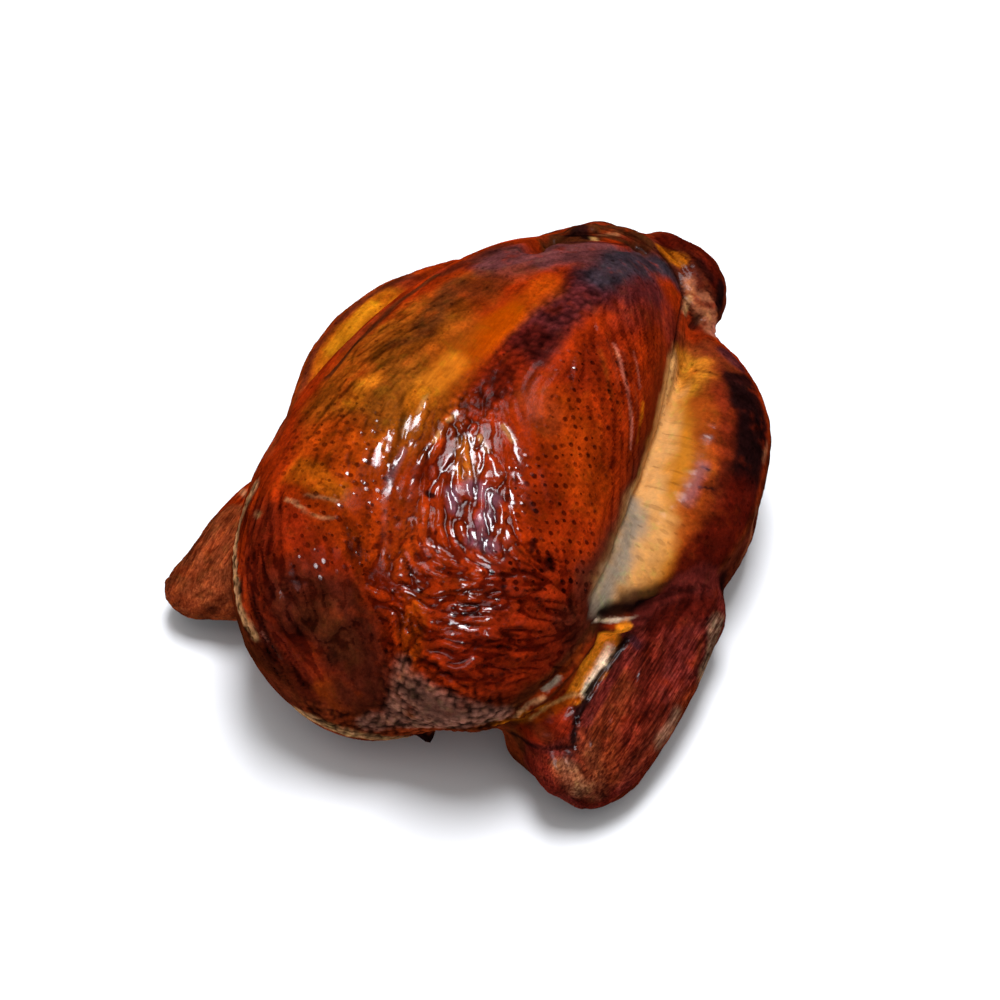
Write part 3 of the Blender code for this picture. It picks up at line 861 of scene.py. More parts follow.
LEFT_WING_PAINT = (
    Patch("left wing", Tint.CLAY, ((-78, -80, 33), (-79, -99, 25), (-65, -99, 26)), 14.5, 2.9),
    Patch("left wing edge", Tint.RUST, ((-86, -104, 20), (-74, -104, 19), (-62, -100, 22)), 1.5, 3.3, 0.7),
    Patch("left wing streak", Tint.RUST, ((-77, -71, 34), (-79, -91, 29)), 1.1, 3.3, 0.5),
    Patch("pimply left rim", Tint.TAN,
          ((-60, -79, 80), (-58, -93, 71), (-49, -109, 70), (-42, -117, 65), (-35, -121, 62)),
          1.5, 2.5, 0.9),
)
PAINT = (
    RIGHT_BREAST_PAINT + KEEL_PAINT + LEFT_BREAST_PAINT + FRONT_PAINT + LEFT_LEG_PAINT +
    RIGHT_LEG_PAINT + HOCK_PAINT + RIGHT_WING_PAINT + TORN_SKIN_PAINT + FINE_MARKS + LEFT_WING_PAINT
)
LAYS = (
    Lay("right lobe, by the leg", (24, 56, 87), (37, 36, 83)),
    Lay("right lobe, by the leg 2", (29, 64, 75), (41, 38, 71)),
    Lay("right lobe streak", (25, 24, 101), (45, 3, 80)),
    Lay("right lobe streak 2", (45, 3, 80), (56, -19, 67)),
    Lay("right lobe low", (48, -26, 83), (56, -61, 79)),
    Lay("fan right", (15, -24, 101), (39, -43, 92)),
    Lay("fan mid", (4, -30, 101), (20, -61, 95)),
    Lay("fan left", (-15, -33, 103), (-6, -68, 98)),
    Lay("fan far left", (-21, -44, 104), (-6, -83, 93)),
    Lay("left streaks", (-29, -57, 103), (-20, -85, 97)),
    Lay("keel", (7, 41, 102), (3, -2, 104)),
    Lay("keel stripe", (-8, 33, 101), (-19, -20, 103)),
    Lay("left tail", (-30, 21, 98), (-44, -13, 98)),
    Lay("left tail 2", (-37, -24, 102), (-43, -53, 100)),
    Lay("left rim", (-51, -58, 95), (-54, -79, 87)),
    Lay("left rim 2", (-56, -79, 85), (-50, -96, 82)),
    Lay("left rim 3", (-50, -96, 82), (-40, -113, 75)),
    Lay("left flank", (-40, -92, 92), (-25, -112, 80)),
    Lay("left arcs", (-29, -82, 99), (-18, -81, 98)),
    Lay("left side low", (-36, -115, 75), (-26, -121, 66)),
    Lay("left front", (-21, -110, 81), (-8, -115, 58)),
    Lay("brick row", (21, -89, 86), (54, -66, 80)),
    Lay("brick row 2", (27, -99, 79), (63, -68, 64)),
    Lay("neck row", (19, -114, 52), (51, -101, 52)),
    Lay("low left row", (9, -95, 83), (21, -89, 86)),
    Lay("hollow", (-7, -102, 81), (7, -113, 55)),
    Lay("ridge", (12, -93, 83), (21, -113, 54)),
    Lay("leg cross", (47, 40, 61), (65, 41, 65)),
    Lay("leg cross 2", (61, 5, 64), (80, 14, 60)),
    Lay("leg cross 3", (68, -25, 63), (86, -4, 52)),
    Lay("wing fibre", (83, -43, 41), (91, -92, 25)),
    Lay("wing fibre 2", (92, -29, 35), (93, -83, 27)),
    Lay("wing fibre 3", (71, -95, 36), (87, -99, 22)),
    Lay("wing fibre 4", (75, -66, 42), (87, -96, 27)),
    Lay("left wing fibre", (-81, -65, 33), (-84, -100, 23)),
    Lay("left wing fibre 2", (-47, -111, 68), (-83, -103, 21)),
    Lay("left leg", (-60, -28, 88), (-58, 18, 80)),
    Lay("rump", (-22, 43, 94), (4, 72, 87)),
    Lay("hock", (11, 93, 68), (37, 81, 55)),
)
GROOVES = (
    Patch("left of the left hock", 5.5, ((-23, 54, 89), (-23, 62, 85), (-22, 69, 81)), 1.6, 4.4),
    Patch("left end of the left hock", -2.2, ((-20, 82, 74), (-15, 86, 73)), 1.5, 4),
    Patch("between the hocks", 2.6, ((5, 85, 76), (11, 84, 75)), 0.5, 4),
    Patch("below the left hock", 1.2, ((-12, 58, 91), (-5, 64, 91), (2, 71, 87), (6, 82, 78)), 0.3, 2),
    Patch("leg meets wing", 1.6, ((74, -43, 57), (78, -34, 52), (84, -23, 46), (90, -4, 26)), 0.4, 2),
    Patch("under the knee fold", 1, ((65, -61, 63), (71, -53, 56), (77, -43, 50)), 0.3, 1.4),
    Patch("over the knee fold", 1, ((65, -56, 63), (71, -49, 59), (76, -40, 52)), 0.4, 1.8),
    Patch("breast meets knee", 1.1,
          ((64, -62, 66), (62, -53, 71), (58, -30, 71), (52, 0, 61), (46, 27, 63), (38, 50, 67)), 0.3, 2),
    Patch("torn rim", 1.2,
          ((74, -52, 46), (73, -57, 46), (72, -63, 45), (72, -70, 44), (72, -77, 42)), 0.3, 1.2),
    Patch("beside the joint", 1, ((69, -79, 42), (72, -86, 39), (75, -92, 36)), 0.3, 1.4),
    Patch("over the joint", 0.8, ((51, -97, 38), (57, -95, 47), (61, -87, 42), (69, -81, 41)), 0.2, 1.2),
    Patch("skin edge at the hock", 1.2,
          ((11, 93, 68), (20, 89, 65), (27, 82, 62), (33, 67, 64), (37, 54, 67)), 0.3, 1.6),
    Patch("hock hollow", 1.5, ((34, 75, 56), (36, 81, 56)), 0.4, 1.6),
    Patch("armpit", 0.9, ((58, -93, 51), (63, -83, 56), (66, -67, 59)), 0.3, 2),
    Patch("left drumstick", 0.9,
          ((-60, -29, 88), (-59, -18, 88), (-59, -1, 86), (-57, 14, 83), (-52, 29, 83)), 0.3, 1.8),
    Patch("neck nub", -4.2, ((23, -106, 19),), 0.8, 3.2),
)
GLINTS = (
    *strokes(
        "gold lines", 0.5, 0.3, 1,
        ((-18, -29, 104), (-16, -36, 103), (-16, -41, 103)), ((-19, -40, 104), (-16, -48, 103)),
        ((-16, -39, 103), (-15, -44, 103)), ((-6, -30, 102), (-7, -35, 102)),
        ((-7, -40, 102), (-7, -44, 101)), ((9, -26, 101), (13, -28, 100), (16, -30, 100)),
    ),
    *strokes(
        "gold crumple", 0.6, 0.7, 1.3,
        ((2, -36, 100), (2, -40, 100), (5, -50, 98)), ((3, -36, 100), (9, -48, 97)),
        ((5, -35, 100), (9, -37, 99), (17, -43, 98)), ((8, -39, 99), (13, -46, 97)),
    ),
    *strokes(
        "left streaks", 0.6, 0.4, 1.3,
        ((-21, -49, 104), (-19, -56, 103)), ((-22, -55, 103), (-19, -62, 102)),
        ((-13, -49, 102), (-14, -60, 101), (-10, -72, 98)), ((-9, -74, 97), (-2, -85, 91)),
        ((-7, -46, 101), (-7, -56, 100), (-4, -66, 97)), ((1, -45, 99), (1, -51, 99)),
        ((1, -56, 98), (2, -60, 97)),
    ),
    *strokes(
        "lilac cells", 0.7, 0.9, 1.3,
        ((6, -54, 97), (10, -62, 95)), ((9, -49, 97), (14, -54, 96)),
        ((15, -49, 97), (23, -53, 96)), ((20, -58, 95), (26, -61, 94)),
        ((15, -69, 94), (16, -65, 94)), ((20, -66, 94), (29, -67, 93)),
        ((25, -56, 95), (32, -62, 93)), ((24, -47, 96), (27, -50, 96)),
    ),
    *strokes(
        "right fan lines", 0.55, 0.3, 1.1,
        ((17, -31, 100), (21, -35, 98)), ((22, -40, 97), (29, -42, 96)),
        ((29, -45, 95), (35, -48, 93)), ((26, -73, 92), (35, -73, 91)),
        ((29, -34, 97), (36, -41, 93)),
    ),
    *strokes(
        "wet glints", 0.8, 0.4, 0.9,
        ((7, -92, 85), (12, -91, 84)), ((4, -85, 89), (6, -86, 89)), ((4, -89, 87), (8, -87, 88)),
        ((24, -82, 89), (27, -83, 89), (30, -85, 87)), ((27, -89, 86), (29, -89, 86)),
        ((36, -86, 85), (41, -81, 85)), ((28, -94, 83), (33, -93, 82), (38, -92, 81)),
        ((40, -90, 81), (43, -90, 80)), ((42, -76, 86), (45, -73, 86)),
        ((43, -69, 88), (44, -68, 88)), ((47, -82, 81), (49, -80, 81)),
        ((50, -74, 82), (50, -71, 83)), ((47, -62, 87), (47, -60, 87)),
        ((8, -77, 92), (13, -76, 92)),
    ),
    *strokes(
        "front left glints", 0.9, 0.5, 1.1,
        ((-31, -121, 66), (-28, -121, 64)), ((-26, -121, 63), (-23, -122, 59)),
        ((-21, -121, 57), (-19, -121, 52)), ((-18, -119, 61), (-17, -119, 57)),
        ((-11, -118, 55), (-8, -118, 53)),
    ),
)


# Places that several kinds of relief and shine share, in mm.
KEEL_RIDGE = ((7, 41, 102), (3, 12, 105), (0, -14, 103), (-4, -30, 101))
DRUMSTICK_SKIN = ((60, 45, 60), (75, 10, 60), (76, -20, 56))
WING_SKIN = ((92, -30, 36), (88, -60, 36), (85, -95, 28))
LEFT_WING_SKIN = ((-78, -70, 33), (-79, -99, 25))
HOCK_SKIN = ((-18, 82, 74), (0, 93, 68), (20, 94, 62), (38, 84, 56))
LEFT_FLANK = ((-47, -93, 87), (-35, -112, 79), (-20, -120, 55))
FRONT = ((8, -88, 90), (30, -84, 90), (48, -72, 84))
AMBER_STRIPE = ((-13, 17, 102), (-15, 4, 103), (-18, -20, 104))

# How far each kind of relief stands, in mm.
WRINKLE = Layers(
    0.12,
    (
        Patch("fan below the keel", 0.22, ((-1, -44, 100), (15, -51, 97), (-6, -68, 98)), 9, 14),
        Patch("right lobe by the leg", 0.28,
              ((25, 40, 95), (30, 10, 98), (48, 3, 78), (56, -19, 67)), 10, 12),
        Patch("left lobe", 0.15, ((-42, -85, 94), (-22, -85, 97), (-20, -70, 99)), 12, 16),
        Patch("left of the keel", 0.22, ((-37, -24, 102), (-43, -13, 98)), 12, 12),
        Patch("left flank", 0.3, LEFT_FLANK, 8, 12),
        Patch("front", 0.25, ((9, -95, 83), (40, -92, 76)), 12, 12),
        Patch("neck", 0.12, ((-10, -124, 30), (17, -115, 40), (50, -101, 52)), 6, 8),
        Patch("right drumstick", 0.04, DRUMSTICK_SKIN, 22, 10),
        Patch("right wing", 0.26, WING_SKIN, 16, 8),
        Patch("left wing", 0.26, LEFT_WING_SKIN, 16, 8),
        Patch("hocks", 0.30, HOCK_SKIN, 8, 6),
    ),
)
BRICKS = Layers(
    0.05,
    (
        Patch("front", 0.46, FRONT, 12, 14),
        Patch("low front", 0.40, ((15, -100, 78), (45, -93, 72), (58, -80, 70)), 9, 10),
        Patch("fan below the keel", 0.36, ((2, -44, 100), (12, -56, 97), (25, -62, 94)), 9, 10),
        Patch("left front", 0.34, ((-30, -112, 80), (-12, -112, 72)), 10, 10),
        Patch("right drumstick", 0.0, DRUMSTICK_SKIN, 22, 10),
    ),
)
PIMPLES = Layers(
    0.0,
    (
        Patch("keel", 0.4, KEEL_RIDGE, 4.5, 6),
        Patch("neck", 0.6, ((17, -108, 67), (19, -114, 52), (18, -114, 28)), 5, 7),
        Patch("neck, right", 0.6, ((24, -108, 70), (35, -108, 65), (46, -104, 58)), 4, 6),
        Patch("neck, low", 0.6, ((-8, -124, 33), (3, -122, 33), (25, -112, 38), (51, -101, 49)), 6, 7),
        Patch("left rim", 0.55, ((-60, -79, 80), (-58, -93, 71), (-49, -109, 70), (-35, -121, 60)), 2, 4),
        Patch("wing edge", 0.3, ((94, -24, 33), (96, -33, 29), (97, -43, 28)), 5, 5),
    ),
)
# Where the skin is so crumpled that its net is made finer still.
CRUMPLED = Layers(
    0.0,
    (
        Patch("fan below the keel", 1.0, ((2, -35, 101), (12, -55, 98), (28, -67, 93)), 14, 8),
        Patch("left streaks", 1.0, ((-19, -42, 104), (-24, -62, 101)), 8, 6),
        Patch("front", 1.0, ((14, -94, 83), (28, -86, 88), (42, -83, 84)), 8, 6),
    ),
)
SWELL = Layers(
    0.45,
    (
        Patch("front", 1.0, ((-20, -100, 85), (10, -95, 83), (45, -90, 76)), 16, 16),
        Patch("smooth tail end of the breast", 0.25, ((-10, 40, 98), (-14, 0, 103), (25, 30, 97)), 18, 14),
        Patch("right drumstick", 0.30, DRUMSTICK_SKIN, 22, 10),
    ),
)
# Where the skin shines, was smoked darker, is fibrous, smooth or porous, from 0 to 1.
GLOSS = Layers(
    0.003,
    (
        Patch("front of the breast", 0.06, ((10, -76, 94), (22, -80, 90), (36, -95, 78)), 14, 12),
        Patch("wet spot", 0.13, ((4, -38, 100), (14, -54, 97), (26, -68, 92)), 7, 7),
        Patch("left lobe", 0.01, ((-42, -85, 94), (-22, -85, 97)), 8, 10),
        Patch("left front", 0.12, ((-36, -115, 72), (-28, -120, 64), (-12, -118, 52)), 10, 12),
        Patch("wishbone hollow", 0.02, ((-4, -104, 78), (7, -112, 58), (8, -116, 50)), 7, 7),
        Patch("tail end of the breast", 0.006, ((-20, 30, 98), (0, 20, 104), (25, 15, 100)), 20, 14),
        Patch("keel", 0.02, KEEL_RIDGE[:3], 9, 10),
        Patch("right drumstick", 0.04, DRUMSTICK_SKIN, 20, 10),
        Patch("right wing", 0.10, WING_SKIN, 16, 8),
        Patch("left wing", 0.08, LEFT_WING_SKIN, 16, 8),
        Patch("hocks", 0.05, HOCK_SKIN, 8, 6),
        Patch("leg gloss", 0.10, ((68, 12, 64), (72, 5, 63)), 3, 6),
        *GLINTS,
    ),
)
SMOKE = Layers(
    0.25,
    (
        Patch("left of the keel", 0.8, ((-40, -5, 99), (-36, -35, 103), (-34, -55, 103)), 14, 14),
        Patch("keel", 0.55, KEEL_RIDGE, 7, 8),
        Patch("front", 0.9, FRONT, 14, 14),
        Patch("left flank", 0.8, LEFT_FLANK, 10, 14),
        Patch("amber stripe", 0.05, AMBER_STRIPE, 4, 5),
        Patch("right drumstick", 0.12, DRUMSTICK_SKIN, 20, 10),
        Patch("right wing", 0.5, WING_SKIN, 16, 8),
        Patch("left wing", 0.5, LEFT_WING_SKIN, 16, 8),
    ),
)
FIBRES = Layers(
    0.12,
    (
        Patch("right wing", 0.9, WING_SKIN, 16, 8),
        Patch("left wing", 0.6, LEFT_WING_SKIN, 16, 8),
        Patch("right lobe by the leg", 0.4, ((25, 40, 95), (45, 3, 80), (56, -19, 67)), 8, 10),
        Patch("right drumstick", 0.0, DRUMSTICK_SKIN, 20, 10),
    ),
)
CLEAN = Layers(
    0.0,
    (
        Patch("right drumstick", 0.75, ((45, 29, 66), (56, -6, 62), (66, -45, 66)), 12, 10),
        Patch("amber stripe", 0.8, AMBER_STRIPE, 4, 6),
        Patch("left drumstick", 0.3, ((-76, -4, 60), (-73, 10, 60), (-63, 18, 74)), 6, 6),
    ),
)
PORES = Layers(
    0.10,
    (
        Patch("right lobe", 0.95, ((36, -40, 92), (48, -58, 86), (44, -74, 86)), 12, 10),
        Patch("right lobe toward the tail", 0.85, ((28, 8, 100), (36, -20, 93)), 8, 12),
        Patch("left lobe", 0.75, ((-40, -60, 100), (-20, -85, 96)), 14, 12),
        Patch("front", 0.55, ((15, -95, 82), (45, -90, 76)), 10, 10),
        Patch("drumstick", 0.30, DRUMSTICK_SKIN, 18, 10),
        Patch("wishbone hollow", 0.0, ((-4, -104, 78), (7, -112, 58)), 6, 6),
        Patch("rump", 0.12, ((-25, 45, 93), (10, 54, 96)), 10, 10),
    ),
)


@dataclass(frozen=True)
class Bird:
    """Where the bird's own frame lies in the model, and the node and body that it uses; its slot is not
    used.
    """

    node: str = "smoked_chicken"
    slot: str = "smoked_skin"
    body: str = "root"
    origin: Point = (3.402, -5.909, 0.06)

    def place(self, points: Points) -> Points:
        """Turn places in the bird's frame, in mm, into the model's metres."""
        return (points - np.array(self.origin)) / MM_PER_METRE

    def own(self, points: Points) -> Points:
        """Turn places in the model's metres into the bird's own frame, in mm."""
        return points * MM_PER_METRE + np.array(self.origin)

    def carry(self, piece: bpy.types.Object) -> None:
        """Let a piece ride with the bird's body."""
        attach(piece, self.body)


# Meshes --------------------------------------------------------------------------


class Net:
    """A mesh object whose corners are moved as one array, in the bird's frame."""

    def __init__(self, name: str, mesh: bpy.types.Mesh, bird: Bird) -> None:
        """Hang a mesh in the scene.

        Args:
            name: The piece's name.
            mesh: Its mesh, in metres.
            bird: The bird it belongs to.
        """
        self.bird = bird
        self.thing = bpy.data.objects.new(name, mesh)
        bpy.context.scene.collection.objects.link(self.thing)

    @property
    def points(self) -> Points:
        """Corners in the bird's frame, in mm."""
        values = np.empty(len(self.thing.data.vertices) * 3)
        self.thing.data.vertices.foreach_get("co", values)
        return self.bird.own(values.reshape(-1, 3))

    @points.setter
    def points(self, points: Points) -> None:
        """Move the corners to places in the bird's frame, in mm."""
        self.thing.data.vertices.foreach_set("co", self.bird.place(points).ravel())
        self.thing.data.update()

    def apply_modifiers(self) -> None:
        """Turn the modifiers' result into the mesh itself."""
        graph = bpy.context.evaluated_depsgraph_get()
        graph.update()
        made = bpy.data.meshes.new_from_object(self.thing.evaluated_get(graph))
        self.thing.modifiers.clear()
        self.thing.data = made

    def remesh(self, voxel: float) -> None:
        """Lay an even net of squares over the shape.

        Args:
            voxel: Size of a square in mm.
        """
        voxels = self.thing.modifiers.new("net", "REMESH")
        voxels.mode = "VOXEL"
        voxels.voxel_size = voxel / MM_PER_METRE
        self.apply_modifiers()

    def even_out(self, uprights: Points, share: float) -> None:
        """Slide corners along the skin toward the middle of their neighbours.

        Args:
            uprights: Which way the skin faces at each corner.
            share: How much of the way they slide.
        """
        points = self.points
        ends = np.empty(len(self.thing.data.edges) * 2, dtype=np.int32)
        self.thing.data.edges.foreach_get("vertices", ends)
        left, right = ends.reshape(-1, 2).T
        links = np.maximum(np.bincount(ends, minlength=len(points)), 1)[:, None]
        middle = np.stack(
            [
                np.bincount(left, points[right, axis], len(points))
                + np.bincount(right, points[left, axis], len(points))
                for axis in range(3)
            ],
            axis=1,
        )
        shift = middle / links - points
        shift -= (shift * uprights).sum(axis=1, keepdims=True) * uprights
        self.points = points + share * shift

    def refine(self, chosen: np.ndarray) -> None:
        """Split the squares whose corners are all chosen into four.

        Args:
            chosen: True for each corner of the fine part.
        """
        net = bmesh.new()
        net.from_mesh(self.thing.data)
        faces = [face for face in net.faces if all(chosen[corner.index] for corner in face.verts)]
        edges = {edge for face in faces for edge in face.edges}
        edges = sorted(edges, key=lambda edge: edge.index)
        bmesh.ops.subdivide_edges(net, edges=edges, cuts=1, use_grid_fill=True)
        odd = [face for face in net.faces if len(face.verts) > 4]
        bmesh.ops.triangulate(net, faces=odd)
        net.to_mesh(self.thing.data)
        net.free()

    def write(self, name: str, values: np.ndarray) -> None:
        """Keep a number, direction or colour at every corner for the material.

        Args:
            name: The attribute's name.
            values: One value, or one row of three or four, for each corner.
        """
        kinds = {1: ("FLOAT", "value"), 3: ("FLOAT_VECTOR", "vector"), 4: ("FLOAT_COLOR", "color")}
        kind, slot = kinds[1 if values.ndim == 1 else values.shape[1]]
        layer = self.thing.data.attributes.new(name, kind, "POINT")
        layer.data.foreach_set(slot, values.astype(np.float32).ravel())

    def smooth(self) -> None:
        """Shade the faces smoothly."""
        self.thing.data.polygons.foreach_set("use_smooth", [True] * len(self.thing.data.polygons))


# Finishes ------------------------------------------------------------------------


class Wiring:
    """Places shader nodes in a tree and joins them."""

    def __init__(self, tree: bpy.types.NodeTree) -> None:
        """Work in the given tree."""
        self.tree = tree

    def feed(self, socket: bpy.types.NodeSocket, value: object) -> None:
        """Join a socket to another, or set its own value."""
        if isinstance(value, bpy.types.NodeSocket):
            self.tree.links.new(value, socket)
        else:
            socket.default_value = value

    def node(self, kind: str, inputs: dict[str | int, object], **settings: object) -> bpy.types.Node:
        """Place a node.

        Args:
            kind: Blender's name for the node, without its ShaderNode.
            inputs: What feeds each input, by name or number.
            settings: The node's own options.

        Returns:
            The node.
        """
        made = self.tree.nodes.new("ShaderNode" + kind)
        for name, value in settings.items():
            setattr(made, name, value)
        for name, value in inputs.items():
            self.feed(made.inputs[name], value)
        return made

    def maths(self, kind: str, *values: object, clamp: bool = False) -> bpy.types.NodeSocket:
        """Calculate with numbers: kind is one of Blender's math operations."""
        inputs = dict(enumerate(values))
        return self.node("Math", inputs, operation=kind, use_clamp=clamp).outputs[0]

    def scaled(self, vector: object, factor: object) -> bpy.types.NodeSocket:
        """Multiply a vector by a number."""
        return self.node("VectorMath", {0: vector, "Scale": factor}, operation="SCALE").outputs[0]

    def fade(
        self, value: object, low: object, high: object, start: object = 0.0, end: object = 1.0
    ) -> bpy.types.NodeSocket:
        """Map low to start and high to end, softly and held at both."""
        inputs = {"Value": value, "From Min": low, "From Max": high, "To Min": start, "To Max": end}
        made = self.node("MapRange", inputs, interpolation_type="SMOOTHSTEP")
        return made.outputs[0]

    def mix(self, share: object, first: object, second: object, blend: str = "MIX") -> bpy.types.NodeSocket:
        """Mix two colours."""
        inputs = {0: share, 6: first, 7: second}
        made = self.node("Mix", inputs, data_type="RGBA", blend_type=blend, clamp_factor=True)
        return made.outputs[2]

    def washed(self, share: object, colour: object, wash: object) -> bpy.types.NodeSocket:
        """Multiply a share of a colour by another."""
        return self.mix(share, colour, wash, "MULTIPLY")

    def attribute(self, name: str, output: str = "Fac") -> bpy.types.NodeSocket:
        """Read what the mesh keeps at its corners."""
        return self.node("Attribute", {}, attribute_name=name).outputs[output]

    def group(self, tree: bpy.types.NodeTree, output: str, **inputs: object) -> bpy.types.NodeSocket:
        """Place a node group, its inputs given with _ for a space."""
        made = self.tree.nodes.new("ShaderNodeGroup")
        made.node_tree = tree
        for name, value in inputs.items():
            self.feed(made.inputs[name.replace("_", " ")], value)
        return made.outputs[output]


class Effect:
    """A shader node group, built once and placed wherever a finish needs it."""

    def __init__(self, name: str, inputs: dict[str, object], outputs: Sequence[str]) -> None:
        """Make an empty group.

        Args:
            name: The group's name.
            inputs: Each input's name and its own value: a number, or three for a vector.
            outputs: Names of the values that it puts out.
        """
        self.tree = bpy.data.node_groups.new(name, "ShaderNodeTree")
        for label, value in inputs.items():
            kind = "NodeSocketVector" if isinstance(value, tuple) else "NodeSocketFloat"
            socket = self.tree.interface.new_socket(label, in_out="INPUT", socket_type=kind)
            socket.default_value = value
        for label in outputs:
            self.tree.interface.new_socket(label, in_out="OUTPUT", socket_type="NodeSocketFloat")
        self.given = self.tree.nodes.new("NodeGroupInput").outputs
        self.result = self.tree.nodes.new("NodeGroupOutput").inputs
        self.wiring = Wiring(self.tree)


@dataclass(frozen=True)
class Effects:
    """The shader groups that the finishes share."""

    mottle: bpy.types.NodeTree
    fibres: bpy.types.NodeTree
    pores: bpy.types.NodeTree
    specks: bpy.types.NodeTree
    creases: bpy.types.NodeTree

    @classmethod
    def make(cls) -> "Effects":
        """Build every group once."""
        pores, specks = cls.make_dots("pores", "2D"), cls.make_dots("specks", "3D")
        return cls(cls.make_mottle(), cls.make_fibres(), pores, specks, cls.make_creases())

    @staticmethod
    def make_mottle() -> bpy.types.NodeTree:
        """Cloudy patches.

        Returns:
            A group with Place and Size in mm and Contrast, and Value from 0 to 1.
        """
        effect = Effect("mottle", {"Place": (0.0, 0.0, 0.0), "Size": 10.0, "Contrast": 1.0}, ["Value"])
        wiring, given = effect.wiring, effect.given
        place = wiring.scaled(given["Place"], wiring.maths("DIVIDE", 1.0, given["Size"]))
        cloud = wiring.node("TexNoise", {"Vector": place, "Scale": 1.0, "Detail": 4.0, "Roughness": 0.6})
        spread = wiring.maths("MULTIPLY", wiring.maths("SUBTRACT", cloud.outputs[0], 0.5), given["Contrast"])
        result = wiring.maths("ADD", spread, 0.5, clamp=True)
        wiring.feed(effect.result["Value"], result)
        return effect.tree

    @staticmethod
    def make_fibres() -> bpy.types.NodeTree:
        """Thin strands side by side, along the bird.

        Returns:
            A group with Place and Size in mm and Length in sizes, and Value from 0 to 1.
        """
        effect = Effect("fibres", {"Place": (0.0, 0.0, 0.0), "Size": 1.0, "Length": 9.0}, ["Value"])
        wiring, given = effect.wiring, effect.given
        place = wiring.scaled(given["Place"], wiring.maths("DIVIDE", 1.0, given["Size"]))
        share = wiring.maths("DIVIDE", 1.0, given["Length"])
        stretch = wiring.node("CombineXYZ", {"X": 1.0, "Y": share, "Z": 0.7}).outputs[0]
        drawn = wiring.node("VectorMath", {0: place, 1: stretch}, operation="MULTIPLY").outputs[0]
        noise = wiring.node("TexNoise", {"Vector": drawn, "Scale": 1.0, "Detail": 2.0, "Distortion": 0.4})
        wiring.feed(effect.result["Value"], wiring.fade(noise.outputs[0], 0.3, 0.7))
        return effect.tree

    @staticmethod
    def make_dots(name: str, dimensions: str) -> bpy.types.NodeTree:
        """Round dots in uneven rows.

        Args:
            name: The group's name.
            dimensions: 2D for dots on an unrolled skin, 3D for specks in space.

        Returns:
            A group with Place in mm, Pitch and Size in mm, Disorder and Share, and Mask.
        """
        inputs = {"Place": (0.0, 0.0, 0.0), "Pitch": 4.0, "Size": 0.7, "Disorder": 0.3, "Share": 1.0}
        effect = Effect(name, inputs, ["Mask"])
        wiring, given = effect.wiring, effect.given
        place = wiring.scaled(given["Place"], wiring.maths("DIVIDE", 1.0, given["Pitch"]))
        cell_inputs = {"Vector": place, "Scale": 1.0, "Randomness": given["Disorder"]}
        cells = wiring.node("TexVoronoi", cell_inputs, voronoi_dimensions=dimensions)
        chance = wiring.node("SeparateColor", {"Color": cells.outputs["Color"]}).outputs
        size = wiring.maths("DIVIDE", given["Size"], given["Pitch"])
        size = wiring.maths("MULTIPLY", size, wiring.fade(chance[1], 0.0, 1.0, 0.55, 1.35))
        dot = wiring.fade(cells.outputs["Distance"], wiring.maths("MULTIPLY", size, 0.5), size, 1.0, 0.0)
        kept = wiring.maths("LESS_THAN", chance[0], given["Share"])
        depth = wiring.fade(chance[2], 0.0, 1.0, 0.45, 1.0)
        dot = wiring.maths("MULTIPLY", dot, kept)
        wiring.feed(effect.result["Mask"], wiring.maths("MULTIPLY", dot, depth))
        return effect.tree

    @staticmethod
    def make_creases() -> bpy.types.NodeTree:
        """Fine creases and grain too small for the mesh.

        Returns:
            A group with Place in mm along and across the skin, Size and Stretch, and Height.
        """
        inputs = {"Place": (0.0, 0.0, 0.0), "Size": 1.2, "Stretch": 0.4}
        effect = Effect("creases", inputs, ["Height"])
        wiring, given = effect.wiring, effect.given
        place = wiring.scaled(given["Place"], wiring.maths("DIVIDE", 1.0, given["Size"]))
        stretch = wiring.node("CombineXYZ", {"X": 1.0, "Y": given["Stretch"], "Z": 1.0}).outputs[0]
        drawn = wiring.node("VectorMath", {0: place, 1: stretch}, operation="MULTIPLY").outputs[0]
        noise = wiring.node("TexNoise", {"Vector": drawn, "Scale": 1.0, "Detail": 3.0, "Distortion": 0.6})
        fold = wiring.maths("ABSOLUTE", wiring.maths("SUBTRACT", noise.outputs[0], 0.5))
        crease = wiring.fade(fold, 0.0, 0.12)
        grain = wiring.node("TexNoise", {"Vector": place, "Scale": 2.4, "Detail": 2.0}).outputs[0]
        crease = wiring.maths("MULTIPLY", crease, 0.65)
        grain = wiring.maths("MULTIPLY", grain, 0.35)
        wiring.feed(effect.result["Height"], wiring.maths("ADD", crease, grain))
        return effect.tree


class Wash(Enum):
    """What a layer of the skin multiplies the colour by: red, green, blue and 1. The ridge wash is painted
    light on the tops of folds, the valley wash painted shade in them.
    """

    WARM = (1.5, 1.35, 1.0, 1.0)
    GREEN = (0.82, 1.25, 0.9, 1.0)
    RIDGE = (1.5, 1.55, 1.2, 1.0)
    VALLEY = (0.30, 0.17, 0.14, 1.0)
    DARK_STRAND = (0.42, 0.34, 0.36, 1.0)
    LIGHT_STRAND = (1.7, 1.9, 2.0, 1.0)
    PORE = (0.16, 0.09, 0.10, 1.0)
    SPECK = (0.25, 0.15, 0.13, 1.0)


